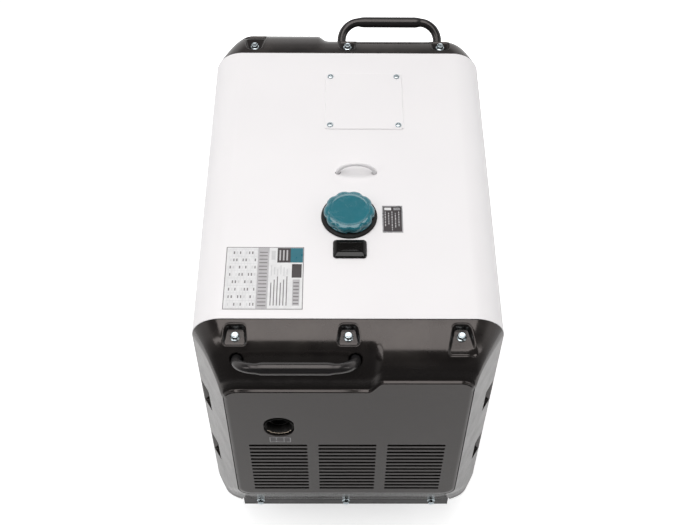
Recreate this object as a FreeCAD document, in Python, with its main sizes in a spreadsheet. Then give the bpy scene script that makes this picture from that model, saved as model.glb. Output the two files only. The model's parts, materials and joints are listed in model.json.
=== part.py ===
import FreeCAD, Part
import Sketcher
import math
import os

# Enclosed ("silent") portable generator set on four casters.
# Row frame: millimetres, +Z up, origin on the ground under the middle of the
# machine.  -Y is the exhaust end, +Y the control end, +X the service-door side.

V = FreeCAD.Vector
C = Sketcher.Constraint
doc = FreeCAD.newDocument("generator")

# ---------------------------------------------------------------- dimensions
sheet = doc.addObject("Spreadsheet::Sheet", "dims")
ROWS = [
    ("canopy_width", 540, "outside width of the sheet-metal canopy"),
    ("canopy_length", 648, "length of the canopy, rim to rim"),
    ("canopy_top", 785, "height of the canopy's top face above the ground"),
    ("canopy_bottom", 187, "lower edge of the canopy's side walls, where the tray begins"),
    ("tray_corner", 51, "outside radius of the tray's two lower corners"),
    ("canopy_corner", 55, "outside radius of the two top corners"),
    ("sheet_thk", 2, "canopy sheet"),
    ("cover_depth", 95, "how far an end cover stands out from the rim"),
    ("cover_wall", 3.5, "moulded wall of an end cover"),
    ("cover_bottom", 103, "lowest point of an end cover"),
    ("face_half", 214, "half width of the flat end face"),
    ("face_bottom", 293, "lower edge of the flat end face"),
    ("face_corner", 26, "corner radius of the flat end face"),
    ("rim_corner", 84, "radius of the lower corners at the rim"),
    ("low_drop", 92, "drop of the top bevel on the handle half"),
    ("high_drop", 64, "drop of the top bevel on the raised half"),
    ("step_in", 30, "foot of the step between the two halves"),
    ("step_out", 62, "top of the step between the two halves"),
    ("slot_length", 107, "louvre slot length"),
    ("slot_height", 6.6, "louvre slot height"),
    ("slot_pitch", 14.03, "louvre pitch"),
    ("slot_top", 503.5, "height of the top louvre"),
    ("slot_count", 14, "louvres in one group"),
    ("group_pitch", 127.8, "sideways pitch of the louvre groups"),
    ("exhaust_x", -123.4, "centre of the exhaust opening"),
    ("exhaust_z", 575, "centre height of the exhaust opening"),
    ("exhaust_wide", 54, "exhaust opening width"),
    ("exhaust_high", 68, "exhaust opening height"),
    ("pipe_radius", 18, "tailpipe outside radius"),
    ("rail_bottom", 100, "underside of the base frame"),
    ("rail_height", 36, "height of the base rails"),
    ("rail_front", 354, "front face of an end rail from the middle"),
    ("rail_half", 220, "half length of an end rail"),
    ("rail_in", 150, "inner face of the side rails"),
    ("bolt_shank", 4, "M8 shank radius"),
    ("bolt_flange", 8.6, "flange radius of an M8 flange bolt"),
    ("bolt_flats", 12, "across flats of an M8 flange bolt"),
    ("cover_bolt_x", 191, "sideways place of the outer cover bolts"),
    ("cover_bolt_s", 30, "outward place of the cover bolts from the rim"),
    ("rail_bolt_x", 184, "sideways place of the outer rail bolts"),
    ("handle_pitch", 200, "distance between the two legs of a handle"),
    ("handle_inset", 88, "middle of a handle from the middle of the cover"),
    ("handle_tube", 9, "handle tube radius"),
    ("handle_grip", 11, "radius of the thick middle of the handle"),
    ("handle_bend", 38, "bend radius of the handle tube"),
    ("bar_out", 97, "handle bar centre, outward from the rim"),
    ("bar_drop", 3, "handle bar centre, below the canopy top"),
    ("handle_tilt", 39, "rise of the handle legs, degrees"),
    ("plate_size", 152, "access plate side"),
    ("plate_x", 31.8, "middle of the access plate"),
    ("plate_y", 188.7, "middle of the access plate"),
    ("plate_screws", 132, "access plate screw pitch"),
    ("eye_x", 15.2, "middle of the lifting eye"),
    ("eye_y", 2.5, "lifting eye and lifting arch plane"),
    ("eye_span", 68, "distance between the lifting eye's legs"),
    ("eye_rise", 24, "lifting eye centreline above the canopy"),
    ("eye_rod", 4, "lifting eye rod radius"),
    ("filler_x", 2, "fuel filler"),
    ("filler_y", -103, "fuel filler"),
    ("cap_radius", 46, "fuel cap outside radius"),
    ("grommet_radius", 51, "rubber ring round the filler"),
    ("neck_radius", 35, "filler neck outside radius"),
    ("gauge_x", 3, "fuel gauge window"),
    ("gauge_y", -177.6, "fuel gauge window"),
    ("gauge_w", 60, "fuel gauge window width"),
    ("gauge_l", 40, "fuel gauge window length"),
    ("tank_half", 232, "half width of the fuel tank"),
    ("tank_bottom", 655, "underside of the fuel tank"),
    ("tank_top", 762, "top of the fuel tank"),
    ("tank_front", -290, "front of the fuel tank"),
    ("tank_back", -30, "back of the fuel tank"),
    ("crank_z", 300, "height of the crankshaft"),
    ("stator_radius", 128, "alternator outside radius"),
    ("flywheel_radius", 105, "flywheel radius"),
    ("muffler_x", -150, "muffler axis"),
    ("muffler_z", 565, "muffler axis"),
    ("muffler_radius", 56, "muffler radius"),
    ("wheel_radius", 37.5, "caster wheel radius"),
    ("wheel_width", 28, "caster wheel width"),
    ("wheel_x", 185, "sideways place of the casters"),
    ("wheel_y", 245, "lengthwise place of the casters"),
    ("caster_trail", 24, "trail of the swivel casters"),
    ("axle_radius", 4, "caster axle radius"),
    ("door_half", 210, "half length of the service door"),
    ("door_low", 200, "lower edge of the service door"),
    ("door_high", 680, "upper edge of the service door"),
    ("door_gap", 2, "gap round the service door"),
    ("panel_half", 165, "half width of the control opening"),
    ("panel_low", 380, "lower edge of the control opening"),
    ("panel_high", 640, "upper edge of the control opening"),
    ("tie_x", 180, "tie-down holes, pitch across"),
    ("tie_y", 678, "tie-down holes, pitch along"),
    ("tie_radius", 5.5, "tie-down hole radius"),
    ("clearance", 0.3, "clearance between separate moulded or curved pieces"),
    ("run_fit", 0.05, "radial clearance of a turning shaft"),
]
for _i, (_alias, _value, _note) in enumerate(ROWS):
    sheet.set("A%d" % (_i + 1), _alias)
    sheet.set("B%d" % (_i + 1), "%g" % _value)
    sheet.setAlias("B%d" % (_i + 1), _alias)
    sheet.set("C%d" % (_i + 1), _note)
doc.recompute()


class Q(object):
    """A number that remembers the sheet expression it came from."""

    def __init__(self, val, expr=None):
        self.val = float(val)
        self.expr = expr if expr is not None else (
            "%.6f" % self.val if self.val >= 0 else "(%.6f)" % self.val)

    @staticmethod
    def of(o):
        return o if isinstance(o, Q) else Q(o)

    def __add__(self, o):
        o = Q.of(o)
        return Q(self.val + o.val, "(%s + %s)" % (self.expr, o.expr))
    __radd__ = __add__

    def __sub__(self, o):
        o = Q.of(o)
        return Q(self.val - o.val, "(%s - %s)" % (self.expr, o.expr))

    def __rsub__(self, o):
        return Q.of(o) - self

    def __mul__(self, o):
        o = Q.of(o)
        return Q(self.val * o.val, "(%s * %s)" % (self.expr, o.expr))
    __rmul__ = __mul__

    def __truediv__(self, o):
        o = Q.of(o)
        return Q(self.val / o.val, "(%s / %s)" % (self.expr, o.expr))

    def __neg__(self):
        return Q(-self.val, "(0 - %s)" % self.expr)

    def bound(self):
        return "dims." in self.expr


class Dims(object):
    def __getattr__(self, name):
        return Q(sheet.get(name), "dims." + name)


d = Dims()


def val(o):
    return Q.of(o).val


def bind(obj, prop, q):
    q = Q.of(q)
    if q.bound():
        obj.setExpression(prop, q.expr)
    else:
        setattr(obj, prop, q.val)


def place(obj, x, y, z, rot=None):
    obj.Placement = FreeCAD.Placement(V(val(x), val(y), val(z)),
                                      rot or FreeCAD.Rotation())
    for k, q in zip("xyz", (x, y, z)):
        q = Q.of(q)
        if q.bound():
            obj.setExpression("Placement.Base." + k, q.expr)
    return obj


# ------------------------------------------------------------ small builders
ROT = {"z": FreeCAD.Rotation(),
       "y": FreeCAD.Rotation(V(1, 0, 0), -90),
       "x": FreeCAD.Rotation(V(0, 1, 0), 90)}


def box(x0, x1, y0, y1, z0, z1, name="blk"):
    b = doc.addObject("Part::Box", name)
    bind(b, "Length", Q.of(x1) - x0)
    bind(b, "Width", Q.of(y1) - y0)
    bind(b, "Height", Q.of(z1) - z0)
    return place(b, x0, y0, z0)


def cyl(axis, r, c1, c2, a0, a1, name="rod"):
    """Cylinder along axis from a0 to a1; c1, c2 are its other two coordinates."""
    c = doc.addObject("Part::Cylinder", name)
    bind(c, "Radius", r)
    bind(c, "Height", Q.of(a1) - a0)
    pos = {"z": (c1, c2, a0), "y": (c1, a0, c2), "x": (a0, c1, c2)}[axis]
    return place(c, pos[0], pos[1], pos[2], ROT[axis])


def hexrod(axis, flats, c1, c2, a0, a1, name="hexrod"):
    p = doc.addObject("Part::Prism", name)
    p.Polygon = 6
    bind(p, "Circumradius", Q.of(flats) / 1.7320508)
    bind(p, "Height", Q.of(a1) - a0)
    pos = {"z": (c1, c2, a0), "y": (c1, a0, c2), "x": (a0, c1, c2)}[axis]
    return place(p, pos[0], pos[1], pos[2], ROT[axis])


def fuse(parts, name="joined"):
    f = doc.addObject("Part::MultiFuse", name)
    f.Shapes = parts
    f.Refine = True
    return f


def cut(base, tools, name="cutout"):
    if len(tools) == 1:
        tool = tools[0]
    else:
        tool = doc.addObject("Part::MultiFuse", "tools")
        tool.Shapes = tools
    c = doc.addObject("Part::Cut", name)
    c.Base = base
    c.Tool = tool
    c.Refine = True
    return c


def group(parts, name="group"):
    g = doc.addObject("Part::Compound", name)
    g.Links = parts
    return g


def fillet(base, r, pick, name="rounded"):
    doc.recompute()
    f = doc.addObject("Part::Fillet", name)
    f.Base = base
    f.Edges = [(i + 1, val(r), val(r)) for i, e in enumerate(base.Shape.Edges) if pick(e)]
    return f


def along(axis):
    k = "xyz".index(axis)

    def pick(e):
        t = e.tangentAt(e.FirstParameter)
        return abs(abs((t.x, t.y, t.z)[k]) - 1) < 1e-6 and len(e.Vertexes) == 2
    return pick


def origin_plane(body, role):
    for f in body.Origin.OriginFeatures:
        if f.Role == role:
            return f
    raise RuntimeError(role)


def sketch(body, role, name="outline"):
    s = body.newObject("Sketcher::SketchObject", name)
    s.AttachmentSupport = [(origin_plane(body, role), "")]
    s.MapMode = "FlatFace"
    return s


def pin_down(s, geo, point, x, y):
    for kind, q in (("DistanceX", x), ("DistanceY", y)):
        q = Q.of(q)
        i = s.addConstraint(C(kind, -1, 1, geo, point, q.val))
        if q.bound():
            s.setExpression("Constraints[%d]" % i, q.expr)


def polygon(s, pts):
    n = len(pts)
    first = s.GeometryCount
    for i in range(n):
        a, b = pts[i], pts[(i + 1) % n]
        s.addGeometry(Part.LineSegment(V(val(a[0]), val(a[1]), 0), V(val(b[0]), val(b[1]), 0)), False)
    for i in range(n):
        s.addConstraint(C("Coincident", first + i, 2, first + (i + 1) % n, 1))
    for i in range(n):
        pin_down(s, first + i, 1, pts[i][0], pts[i][1])


def circle(s, x, y, r):
    g = s.addGeometry(Part.Circle(V(val(x), val(y), 0), V(0, 0, 1), val(r)), False)
    i = s.addConstraint(C("Radius", g, val(r)))
    if Q.of(r).bound():
        s.setExpression("Constraints[%d]" % i, Q.of(r).expr)
    pin_down(s, g, 3, x, y)


def turned(name, pts, x=0, y=0, z=0, rot=None):
    """Body made by revolving an (r, z) outline about its own axis."""
    b = doc.addObject("PartDesign::Body", name)
    s = sketch(b, "XZ_Plane")
    polygon(s, pts)
    doc.recompute()
    r = b.newObject("PartDesign::Revolution", name + "_turn")
    r.Profile = s
    r.ReferenceAxis = (s, ["V_Axis"])
    r.Angle = 360
    b.Tip = r
    doc.recompute()
    place(b, x, y, z, rot)
    return b


def padded(name, role, pts, length, x=0, y=0, z=0, rot=None, mid=False):
    """Body made by padding a polygon drawn on one of its origin planes."""
    b = doc.addObject("PartDesign::Body", name)
    s = sketch(b, role)
    polygon(s, pts)
    doc.recompute()
    p = b.newObject("PartDesign::Pad", name + "_pad")
    p.Profile = s
    bind(p, "Length", length)
    p.Midplane = bool(mid)
    b.Tip = p
    doc.recompute()
    place(b, x, y, z, rot)
    return b


def rect(x0, x1, y0, y1):
    return [(x0, y0), (x1, y0), (x1, y1), (x0, y1)]


def bent_tube(name, half, length, bend, radius):
    """U-shaped round bar in its own XY plane: legs along +Y from y = 0."""
    b = doc.addObject("PartDesign::Body", name)
    s = sketch(b, "XY_Plane", "spine")
    hv, lv, rv = val(half), val(length), val(bend)
    s.addGeometry(Part.LineSegment(V(-hv, 0, 0), V(-hv, lv - rv, 0)), False)
    s.addGeometry(Part.ArcOfCircle(Part.Circle(V(-hv + rv, lv - rv, 0), V(0, 0, 1), rv), math.pi / 2, math.pi), False)
    s.addGeometry(Part.LineSegment(V(-hv + rv, lv, 0), V(hv - rv, lv, 0)), False)
    s.addGeometry(Part.ArcOfCircle(Part.Circle(V(hv - rv, lv - rv, 0), V(0, 0, 1), rv), 0, math.pi / 2), False)
    s.addGeometry(Part.LineSegment(V(hv, lv - rv, 0), V(hv, 0, 0)), False)
    s.addConstraint(C("Tangent", 0, 2, 1, 2))
    s.addConstraint(C("Tangent", 1, 1, 2, 1))
    s.addConstraint(C("Tangent", 2, 2, 3, 2))
    s.addConstraint(C("Tangent", 3, 1, 4, 1))
    s.addConstraint(C("Vertical", 0))
    s.addConstraint(C("Horizontal", 2))
    s.addConstraint(C("Vertical", 4))
    i = s.addConstraint(C("Radius", 1, rv))
    if Q.of(bend).bound():
        s.setExpression("Constraints[%d]" % i, Q.of(bend).expr)
    s.addConstraint(C("Equal", 1, 3))
    pin_down(s, 0, 1, -Q.of(half), 0)
    pin_down(s, 4, 2, half, 0)
    i = s.addConstraint(C("DistanceY", -1, 1, 2, 1, lv))
    if Q.of(length).bound():
        s.setExpression("Constraints[%d]" % i, Q.of(length).expr)
    doc.recompute()
    p = sketch(b, "XZ_Plane", "section")
    circle(p, -Q.of(half), 0, radius)
    doc.recompute()
    q = b.newObject("PartDesign::AdditivePipe", name + "_pipe")
    q.Profile = p
    q.Spine = (s, ["Edge%d" % k for k in range(1, 6)])
    b.Tip = q
    doc.recompute()
    return b


NODES = []


def node(obj, name):
    obj.Label = name
    NODES.append((obj, name))
    return obj


def turn_z(obj):
    """The same piece at the other end: half a turn about the vertical axis."""
    obj.Placement = FreeCAD.Placement(V(0, 0, 0), FreeCAD.Rotation(V(0, 0, 1), 180))
    return obj


half_w = d.canopy_width / 2
half_l = d.canopy_length / 2
TOP = d.canopy_top
T = d.sheet_thk

# ------------------------------------------------------------------- canopy
# Inverted U of painted sheet with two round top corners, an opening for the
# service door on +X, and holes for the filler, gauge, lifting eye and access.
outer = fillet(box(-half_w, half_w, -half_l, half_l, d.canopy_bottom, TOP, "canopy_outer"),
               d.canopy_corner, lambda e: along("y")(e) and e.CenterOfMass.z > val(TOP) - 1, "canopy_outer_round")
inner = fillet(box(-half_w + T, half_w - T, -half_l - 5, half_l + 5, d.canopy_bottom - 5, TOP - T, "canopy_inner"),
               d.canopy_corner - T, lambda e: along("y")(e) and e.CenterOfMass.z > val(TOP) - 6, "canopy_inner_round")
g = d.door_gap
canopy = cut(outer, [
    inner,
    box(half_w - 40, half_w + 10, -d.door_half - g, d.door_half + g, d.door_low - g, d.door_high + g),
    cyl("z", d.grommet_radius - 3, d.filler_x, d.filler_y, TOP - 10, TOP + 10),
    box(d.gauge_x - d.gauge_w / 2 + 2, d.gauge_x + d.gauge_w / 2 - 2,
        d.gauge_y - d.gauge_l / 2 + 2, d.gauge_y + d.gauge_l / 2 - 2, TOP - 10, TOP + 10),
    cyl("z", d.eye_rod + 1, d.eye_x - d.eye_span / 2, d.eye_y, TOP - 10, TOP + 10),
    cyl("z", d.eye_rod + 1, d.eye_x + d.eye_span / 2, d.eye_y, TOP - 10, TOP + 10),
    box(d.plate_x - 55, d.plate_x + 55, d.plate_y - 55, d.plate_y + 55, TOP - 10, TOP + 10),
] + [cyl("z", 2.6, d.plate_x + sx * d.plate_screws / 2, d.plate_y + sy * d.plate_screws / 2, TOP - 10, TOP + 10)
     for sx in (-1, 1) for sy in (-1, 1)], "canopy_cut")
node(canopy, "canopy_shell")

# Access plate: pad with four holes, all from one sketch, and its four screws.
ap = doc.addObject("PartDesign::Body", "access_plate_body")
s = sketch(ap, "XY_Plane")
hp = d.plate_size / 2
polygon(s, rect(-hp, hp, -hp, hp))
for sx in (-1, 1):
    for sy in (-1, 1):
        circle(s, sx * d.plate_screws / 2, sy * d.plate_screws / 2, 2.6)
doc.recompute()
pd = ap.newObject("PartDesign::Pad", "access_plate_pad")
pd.Profile = s
bind(pd, "Length", 1.5)
ap.Tip = pd
doc.recompute()
ch = ap.newObject("PartDesign::Fillet", "access_plate_corners")
ch.Base = (pd, ["Edge%d" % (i + 1) for i, e in enumerate(pd.Shape.Edges)
                if along("z")(e) and abs(abs(e.CenterOfMass.x) - val(hp)) < 0.1])
ch.Radius = 4
ap.Tip = ch
doc.recompute()
place(ap, d.plate_x, d.plate_y, TOP)
node(ap, "access_plate")
scr = []
for sx in (-1, 1):
    for sy in (-1, 1):
        px, py = d.plate_x + sx * d.plate_screws / 2, d.plate_y + sy * d.plate_screws / 2
        head = turned("plate_screw", [(0, -8), (2.4, -8), (2.4, 0), (5.2, 0), (5.2, 0.8), (4.4, 2.2), (2.6, 3.0), (0, 3.0)],
                      px, py, TOP + 1.5)
        scr.append(head)
node(group(scr, "plate_screw_group"), "access_plate_screws")

# --------------------------------------------------------------- end covers
# One moulding used at both ends.  Its outline shrinks from the rim (s = 0) to
# the flat face (s = cover_depth): the flanks taper, the top rolls over in a
# bevel that is fuller on one half, and the underside slopes in to the rail.
S_KEYS = [0.0, 12.0, 26.0, 34.0, 50.0, 66.0, 80.0, 90.0, 95.0]


def lerp(x, xs, ys):
    for i in range(len(xs) - 1):
        if x <= xs[i + 1]:
            t = (x - xs[i]) / (xs[i + 1] - xs[i])
            return ys[i] + (ys[i + 1] - ys[i]) * t
    return ys[-1]


def cover_section(sd, off):
    """Outline at distance sd from the rim, shrunk by off on every side."""
    dep, fh = val(d.cover_depth), val(d.face_half)
    hw = val(half_w)
    k = sd / dep
    w = hw + (fh - hw) * k
    low = lerp(sd, [0, 12, 26, 34, 50, 66, 80, 90, 95], [0.0, 1.2, 4.6, 8.0, 19.0, 36.0, 56.0, 76.0, val(d.low_drop)])
    high = lerp(sd, [0, 12, 26, 34, 50, 66, 80, 90, 95], [0.0, 0.6, 2.6, 4.6, 10.5, 19.5, 31.0, 45.0, val(d.high_drop)])
    bot = lerp(sd, [0, 26, 34, 95], [val(d.cover_bottom), val(d.cover_bottom) + 2, 139.0, val(d.face_bottom)])
    rt = val(d.canopy_corner) + (val(d.face_corner) - val(d.canopy_corner)) * k
    rb = val(d.rim_corner) + (val(d.face_corner) - val(d.rim_corner)) * k
    w, low, high, bot = w - off, low + off, high + off, bot + off
    rt, rb = max(rt - off, 4), max(rb - off, 4)
    y = -val(half_l) - sd
    zt_l, zt_h = val(TOP) - low, val(TOP) - high
    a, b = val(d.step_in), val(d.step_out)
    q = math.sqrt(0.5)

    def P(x, z):
        return V(x, y, z)

    def arc(p0, pm, p1):
        return Part.Arc(p0, pm, p1).toShape()

    def line(p0, p1):
        return Part.LineSegment(p0, p1).toShape()
    e = [line(P(-w + rb, bot), P(w - rb, bot)),
         arc(P(w - rb, bot), P(w - rb + rb * q, bot + rb - rb * q), P(w, bot + rb)),
         line(P(w, bot + rb), P(w, zt_h - rt)),
         arc(P(w, zt_h - rt), P(w - rt + rt * q, zt_h - rt + rt * q), P(w - rt, zt_h)),
         line(P(w - rt, zt_h), P(b, zt_h)),
         line(P(b, zt_h), P(a, zt_l)),
         line(P(a, zt_l), P(-w + rt, zt_l)),
         arc(P(-w + rt, zt_l), P(-w + rt - rt * q, zt_l - rt + rt * q), P(-w, zt_l - rt)),
         line(P(-w, zt_l - rt), P(-w, bot + rb)),
         arc(P(-w, bot + rb), P(-w + rb - rb * q, bot + rb - rb * q), P(-w + rb, bot))]
    return Part.Wire(e)


def cover_solid(off, s_first, s_last):
    keys = [s_first] + [k for k in S_KEYS if s_first < k < s_last] + [s_last]
    return Part.makeLoft([cover_section(k, off) for k in keys], True, True)


wall = val(d.cover_wall)
c_out = doc.addObject("Part::Feature", "cover_outer")
c_out.Shape = cover_solid(0.0, 0.0, val(d.cover_depth))
c_in = doc.addObject("Part::Feature", "cover_inner")
c_in.Shape = cover_solid(wall, -6.0, val(d.cover_depth) - wall)
doc.recompute()
SY = -half_l            # y of the rim plane at the -Y end


def pocket_block(x, hx, s0, s1, zf):
    """Local thickening that carries a bolt pocket: floor top at zf."""
    return box(x - hx - 3, x + hx + 3, SY - s1 - 3, SY - s0 + 3, zf - 3.5, TOP)


bolt_floor = TOP - 12
SIDE_Z = [TOP - 214, TOP - 416]           # heights of the side bolts
SIDE_S = 14                               # side bolts from the rim


def make_cover(name, openings):
    thick = []
    hollow = []
    for x in (-d.cover_bolt_x, Q.of(0), d.cover_bolt_x):
        hx = 16 if x.val != 0 else 14
        thick.append(pocket_block(x, hx, Q.of(12), Q.of(52), bolt_floor))
        hollow.append(box(x - hx, x + hx, SY - 52, SY - 12, bolt_floor, TOP + 5))
        hollow.append(cyl("z", d.bolt_shank + 0.5, x, SY - d.cover_bolt_s, bolt_floor - 20, TOP))
    for sgn in (-1, 1):
        for z in SIDE_Z:
            xf = 248
            lo, hi = (-275, -xf + 3.5) if sgn < 0 else (xf - 3.5, 275)
            thick.append(box(lo, hi, SY - 31, SY - 1, z - 58, z + 16))
            lo, hi = (-290, -xf) if sgn < 0 else (xf, 290)
            hollow.append(box(lo, hi, SY - 28, SY - 4, z - 55, z + 13))
            hollow.append(cyl("x", d.bolt_shank + 0.5, SY - SIDE_S, z,
                              -xf - 3 if sgn < 0 else xf - 20, -xf + 20 if sgn < 0 else xf + 3))
    pads = doc.addObject("Part::MultiFuse", name + "_pads")
    pads.Shapes = thick
    pads_in = doc.addObject("Part::MultiCommon", name + "_pads_in")
    pads_in.Shapes = [pads, c_out]
    shell = cut(c_out, [c_in], name + "_shell")
    full = fuse([shell, pads_in], name + "_full")
    # notch that sits over the end rail
    hollow.append(box(-d.rail_half - 1, d.rail_half + 1, SY - 32, SY + 10, 90, d.rail_bottom + d.rail_height + 0.5))
    # holes where the handle legs pass through
    for hx in (-d.handle_inset - d.handle_pitch / 2, -d.handle_inset + d.handle_pitch / 2):
        hole = doc.addObject("Part::Cylinder", "leg_hole")
        bind(hole, "Radius", d.handle_tube + 2)
        hole.Height = 60
        rot = FreeCAD.Rotation(V(1, 0, 0), 90 - val(d.handle_tilt))
        hole_z = -val(d.bar_drop) - (val(d.bar_out) - 28) * math.tan(math.radians(val(d.handle_tilt)))
        place(hole, hx, SY - 28, TOP + hole_z, rot)
        hollow.append(hole)
    return cut(full, hollow + openings, name)


louvres = []
for gi in (-1, 0, 1):
    for k in range(int(val(d.slot_count))):
        zc = d.slot_top - k * d.slot_pitch
        louvres.append(box(gi * d.group_pitch - d.slot_length / 2, gi * d.group_pitch + d.slot_length / 2,
                           SY - d.cover_depth - 5, SY - d.cover_depth + 10,
                           zc - d.slot_height / 2, zc + d.slot_height / 2, "slot"))
ew = d.exhaust_wide / 2
eh = d.exhaust_high / 2
exhaust_hole = [cyl("y", ew, d.exhaust_x, d.exhaust_z + (eh - ew), SY - d.cover_depth - 5, SY - d.cover_depth + 10),
                cyl("y", ew, d.exhaust_x, d.exhaust_z - (eh - ew), SY - d.cover_depth - 5, SY - d.cover_depth + 10),
                box(d.exhaust_x - ew, d.exhaust_x + ew, SY - d.cover_depth - 5, SY - d.cover_depth + 10,
                    d.exhaust_z - (eh - ew), d.exhaust_z + (eh - ew))]
node(make_cover("front_cover_cut", louvres + exhaust_hole), "front_cover")
control_hole = [box(-d.panel_half, d.panel_half, SY - d.cover_depth - 5, SY - d.cover_depth + 10,
                    d.panel_low, d.panel_high)]
node(turn_z(make_cover("rear_cover_cut", control_hole)), "rear_cover")


# Bulkheads: sheet rings just inside each end of the canopy.  Tabs on them take
# the cover bolts, and the handle legs are welded to their outer face.
def make_bulkhead(name):
    th = 3
    plate = fillet(box(-half_w + T + 0.6, half_w - T - 0.6, SY, SY + th, d.rail_bottom + d.rail_height + T, TOP - T - 0.6),
                   d.canopy_corner - T, lambda e: along("y")(e), name + "_plate")
    parts = [plate]
    for x in (-d.cover_bolt_x, Q.of(0), d.cover_bolt_x):
        parts.append(box(x - 13, x + 13, SY - 36, SY, bolt_floor - 7.8, bolt_floor - 4.2))
    for sgn in (-1, 1):
        for z in SIDE_Z:
            if sgn < 0:
                parts.append(box(-244, -240, SY - 26, SY, z - 13, z + 13))
            else:
                parts.append(box(240, 244, SY - 26, SY, z - 13, z + 13))
    solid = fuse(parts, name + "_solid")
    holes = [box(-205, 205, SY - 5, SY + 10, 200, 670)]
    for x in (-d.cover_bolt_x, Q.of(0), d.cover_bolt_x):
        holes.append(cyl("z", d.bolt_shank + 0.2, x, SY - d.cover_bolt_s, 700, TOP))
    for z in SIDE_Z:
        holes.append(cyl("x", d.bolt_shank + 0.2, SY - SIDE_S, z, -260, -230))
        holes.append(cyl("x", d.bolt_shank + 0.2, SY - SIDE_S, z, 230, 260))
    return cut(solid, holes, name)


node(make_bulkhead("front_bulkhead_cut"), "front_bulkhead")
node(turn_z(make_bulkhead("rear_bulkhead_cut")), "rear_bulkhead")


# M8 flange bolts: shank, flange and hexagon head along one axis.
def flange_bolt(axis, c1, c2, seat, way, length):
    """Bolt whose flange sits at seat and whose head points along way (+1, -1)."""
    seat = Q.of(seat)

    def span(a, b):
        return (seat + a, seat + b) if way > 0 else (seat - b, seat - a)
    sh = span(-length, 0)
    fl = span(0, 1.8)
    hd = span(1.8, 7.5)
    return fuse([cyl(axis, d.bolt_shank, c1, c2, sh[0], sh[1]),
                 cyl(axis, d.bolt_flange, c1, c2, fl[0], fl[1]),
                 hexrod(axis, d.bolt_flats, c1, c2, hd[0], hd[1])], "flange_bolt")


def end_bolts():
    out = []
    for x in (-d.cover_bolt_x, Q.of(0), d.cover_bolt_x):
        out.append(flange_bolt("z", x, SY - d.cover_bolt_s, bolt_floor, 1, 10))
    for z in SIDE_Z:
        out.append(flange_bolt("x", SY - SIDE_S, z, -248, -1, 14))
        out.append(flange_bolt("x", SY - SIDE_S, z, 248, 1, 14))
    for x in (-d.rail_bolt_x, Q.of(0), d.rail_bolt_x):
        out.append(flange_bolt("y", x, d.rail_bottom + d.rail_height / 2, -d.rail_front, -1, 12))
    return out


front_set = end_bolts()
rear_set = turn_z(group(end_bolts(), "rear_bolts"))
node(group(front_set + [rear_set], "flange_bolt_group"), "flange_bolts")


# -------------------------------------------------------------------- handles
# Bent tube with a thicker middle; each leg runs down through the cover and is
# cut off square against the bulkhead.
def make_handle(name):
    reach = 150.0
    tube = bent_tube(name + "_tube", d.handle_pitch / 2, Q(reach), d.handle_bend, d.handle_tube)
    grip = doc.addObject("Part::Cylinder", name + "_grip")
    bind(grip, "Radius", d.handle_grip)
    bind(grip, "Height", d.handle_pitch - d.handle_bend * 2 - 10)
    place(grip, -(d.handle_pitch / 2 - d.handle_bend - 5), Q(reach), 0, ROT["x"])
    whole = fuse([tube, grip], name + "_whole")
    tilt = val(d.handle_tilt)
    a = math.radians(tilt)
    # the bar's centre stands 97 mm out from the rim plane, just under the top
    by, bz = -val(d.bar_out), -val(d.bar_drop)
    oy, oz = by + reach * math.cos(a), bz - reach * math.sin(a)
    rot = FreeCAD.Rotation(V(1, 0, 0), 180 - tilt)
    rot = FreeCAD.Rotation(V(0, 0, 1), 180).multiply(FreeCAD.Rotation(V(1, 0, 0), tilt))
    place(whole, -d.handle_inset, SY + oy, TOP + oz, rot)
    return cut(whole, [box(-300, 200, SY, SY + 120, 600, 900)], name)


node(make_handle("front_handle_cut"), "front_handle")
node(turn_z(make_handle("rear_handle_cut")), "rear_handle")

# ----------------------------------------------------------------- base frame
zb, zt = d.rail_bottom, d.rail_bottom + d.rail_height
frame_parts = []
for sgn in (-1, 1):
    x0, x1 = (-d.rail_half, -d.rail_in) if sgn < 0 else (d.rail_in, d.rail_half)
    frame_parts.append(box(x0, x1, -d.rail_front, d.rail_front, zb, zt, "side_rail"))
for y0, y1 in ((-d.rail_front, -d.rail_front + 30), (d.rail_front - 30, d.rail_front), (Q(-150), Q(-110)), (Q(170), Q(210))):
    frame_parts.append(box(-d.rail_half, d.rail_half, y0, y1, zb, zt, "cross_member"))
tie = [cyl("z", d.tie_radius, sx * d.tie_x / 2, sy * d.tie_y / 2, 90, 150) for sx in (-1, 1) for sy in (-1, 1)]
bolt_holes = []
for sgn in (-1, 1):
    for x in (-d.rail_bolt_x, Q.of(0), d.rail_bolt_x):
        y0, y1 = (-d.rail_front - 2, -d.rail_front + 14) if sgn < 0 else (d.rail_front - 14, d.rail_front + 2)
        bolt_holes.append(cyl("y", d.bolt_shank + 0.2, x, (zb + zt) / 2, y0, y1))
node(cut(fuse(frame_parts, "frame_weldment"), tie + bolt_holes, "base_frame_cut"), "base_frame")

# Tray that closes the canopy below: flat floor, lower corners rolled up to meet
# the canopy's side walls, and an air inlet under the engine.
tray_out = fillet(box(-half_w, half_w, -half_l, half_l, zt, zt + 120, "tray_outer"),
                  d.tray_corner, lambda e: along("y")(e) and e.CenterOfMass.z < val(zt) + 1, "tray_outer_round")
tray_in = fillet(box(-half_w + T, half_w - T, -half_l - 5, half_l + 5, zt + T, zt + 130, "tray_inner"),
                 d.tray_corner - T, lambda e: along("y")(e) and e.CenterOfMass.z < val(zt) + 4, "tray_inner_round")
node(cut(tray_out, [tray_in, box(-300, 300, -400, 400, d.canopy_bottom, zt + 140),
                    box(-60, 60, -90, 90, 130, 150)], "floor_pan_cut"), "floor_pan")

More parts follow.
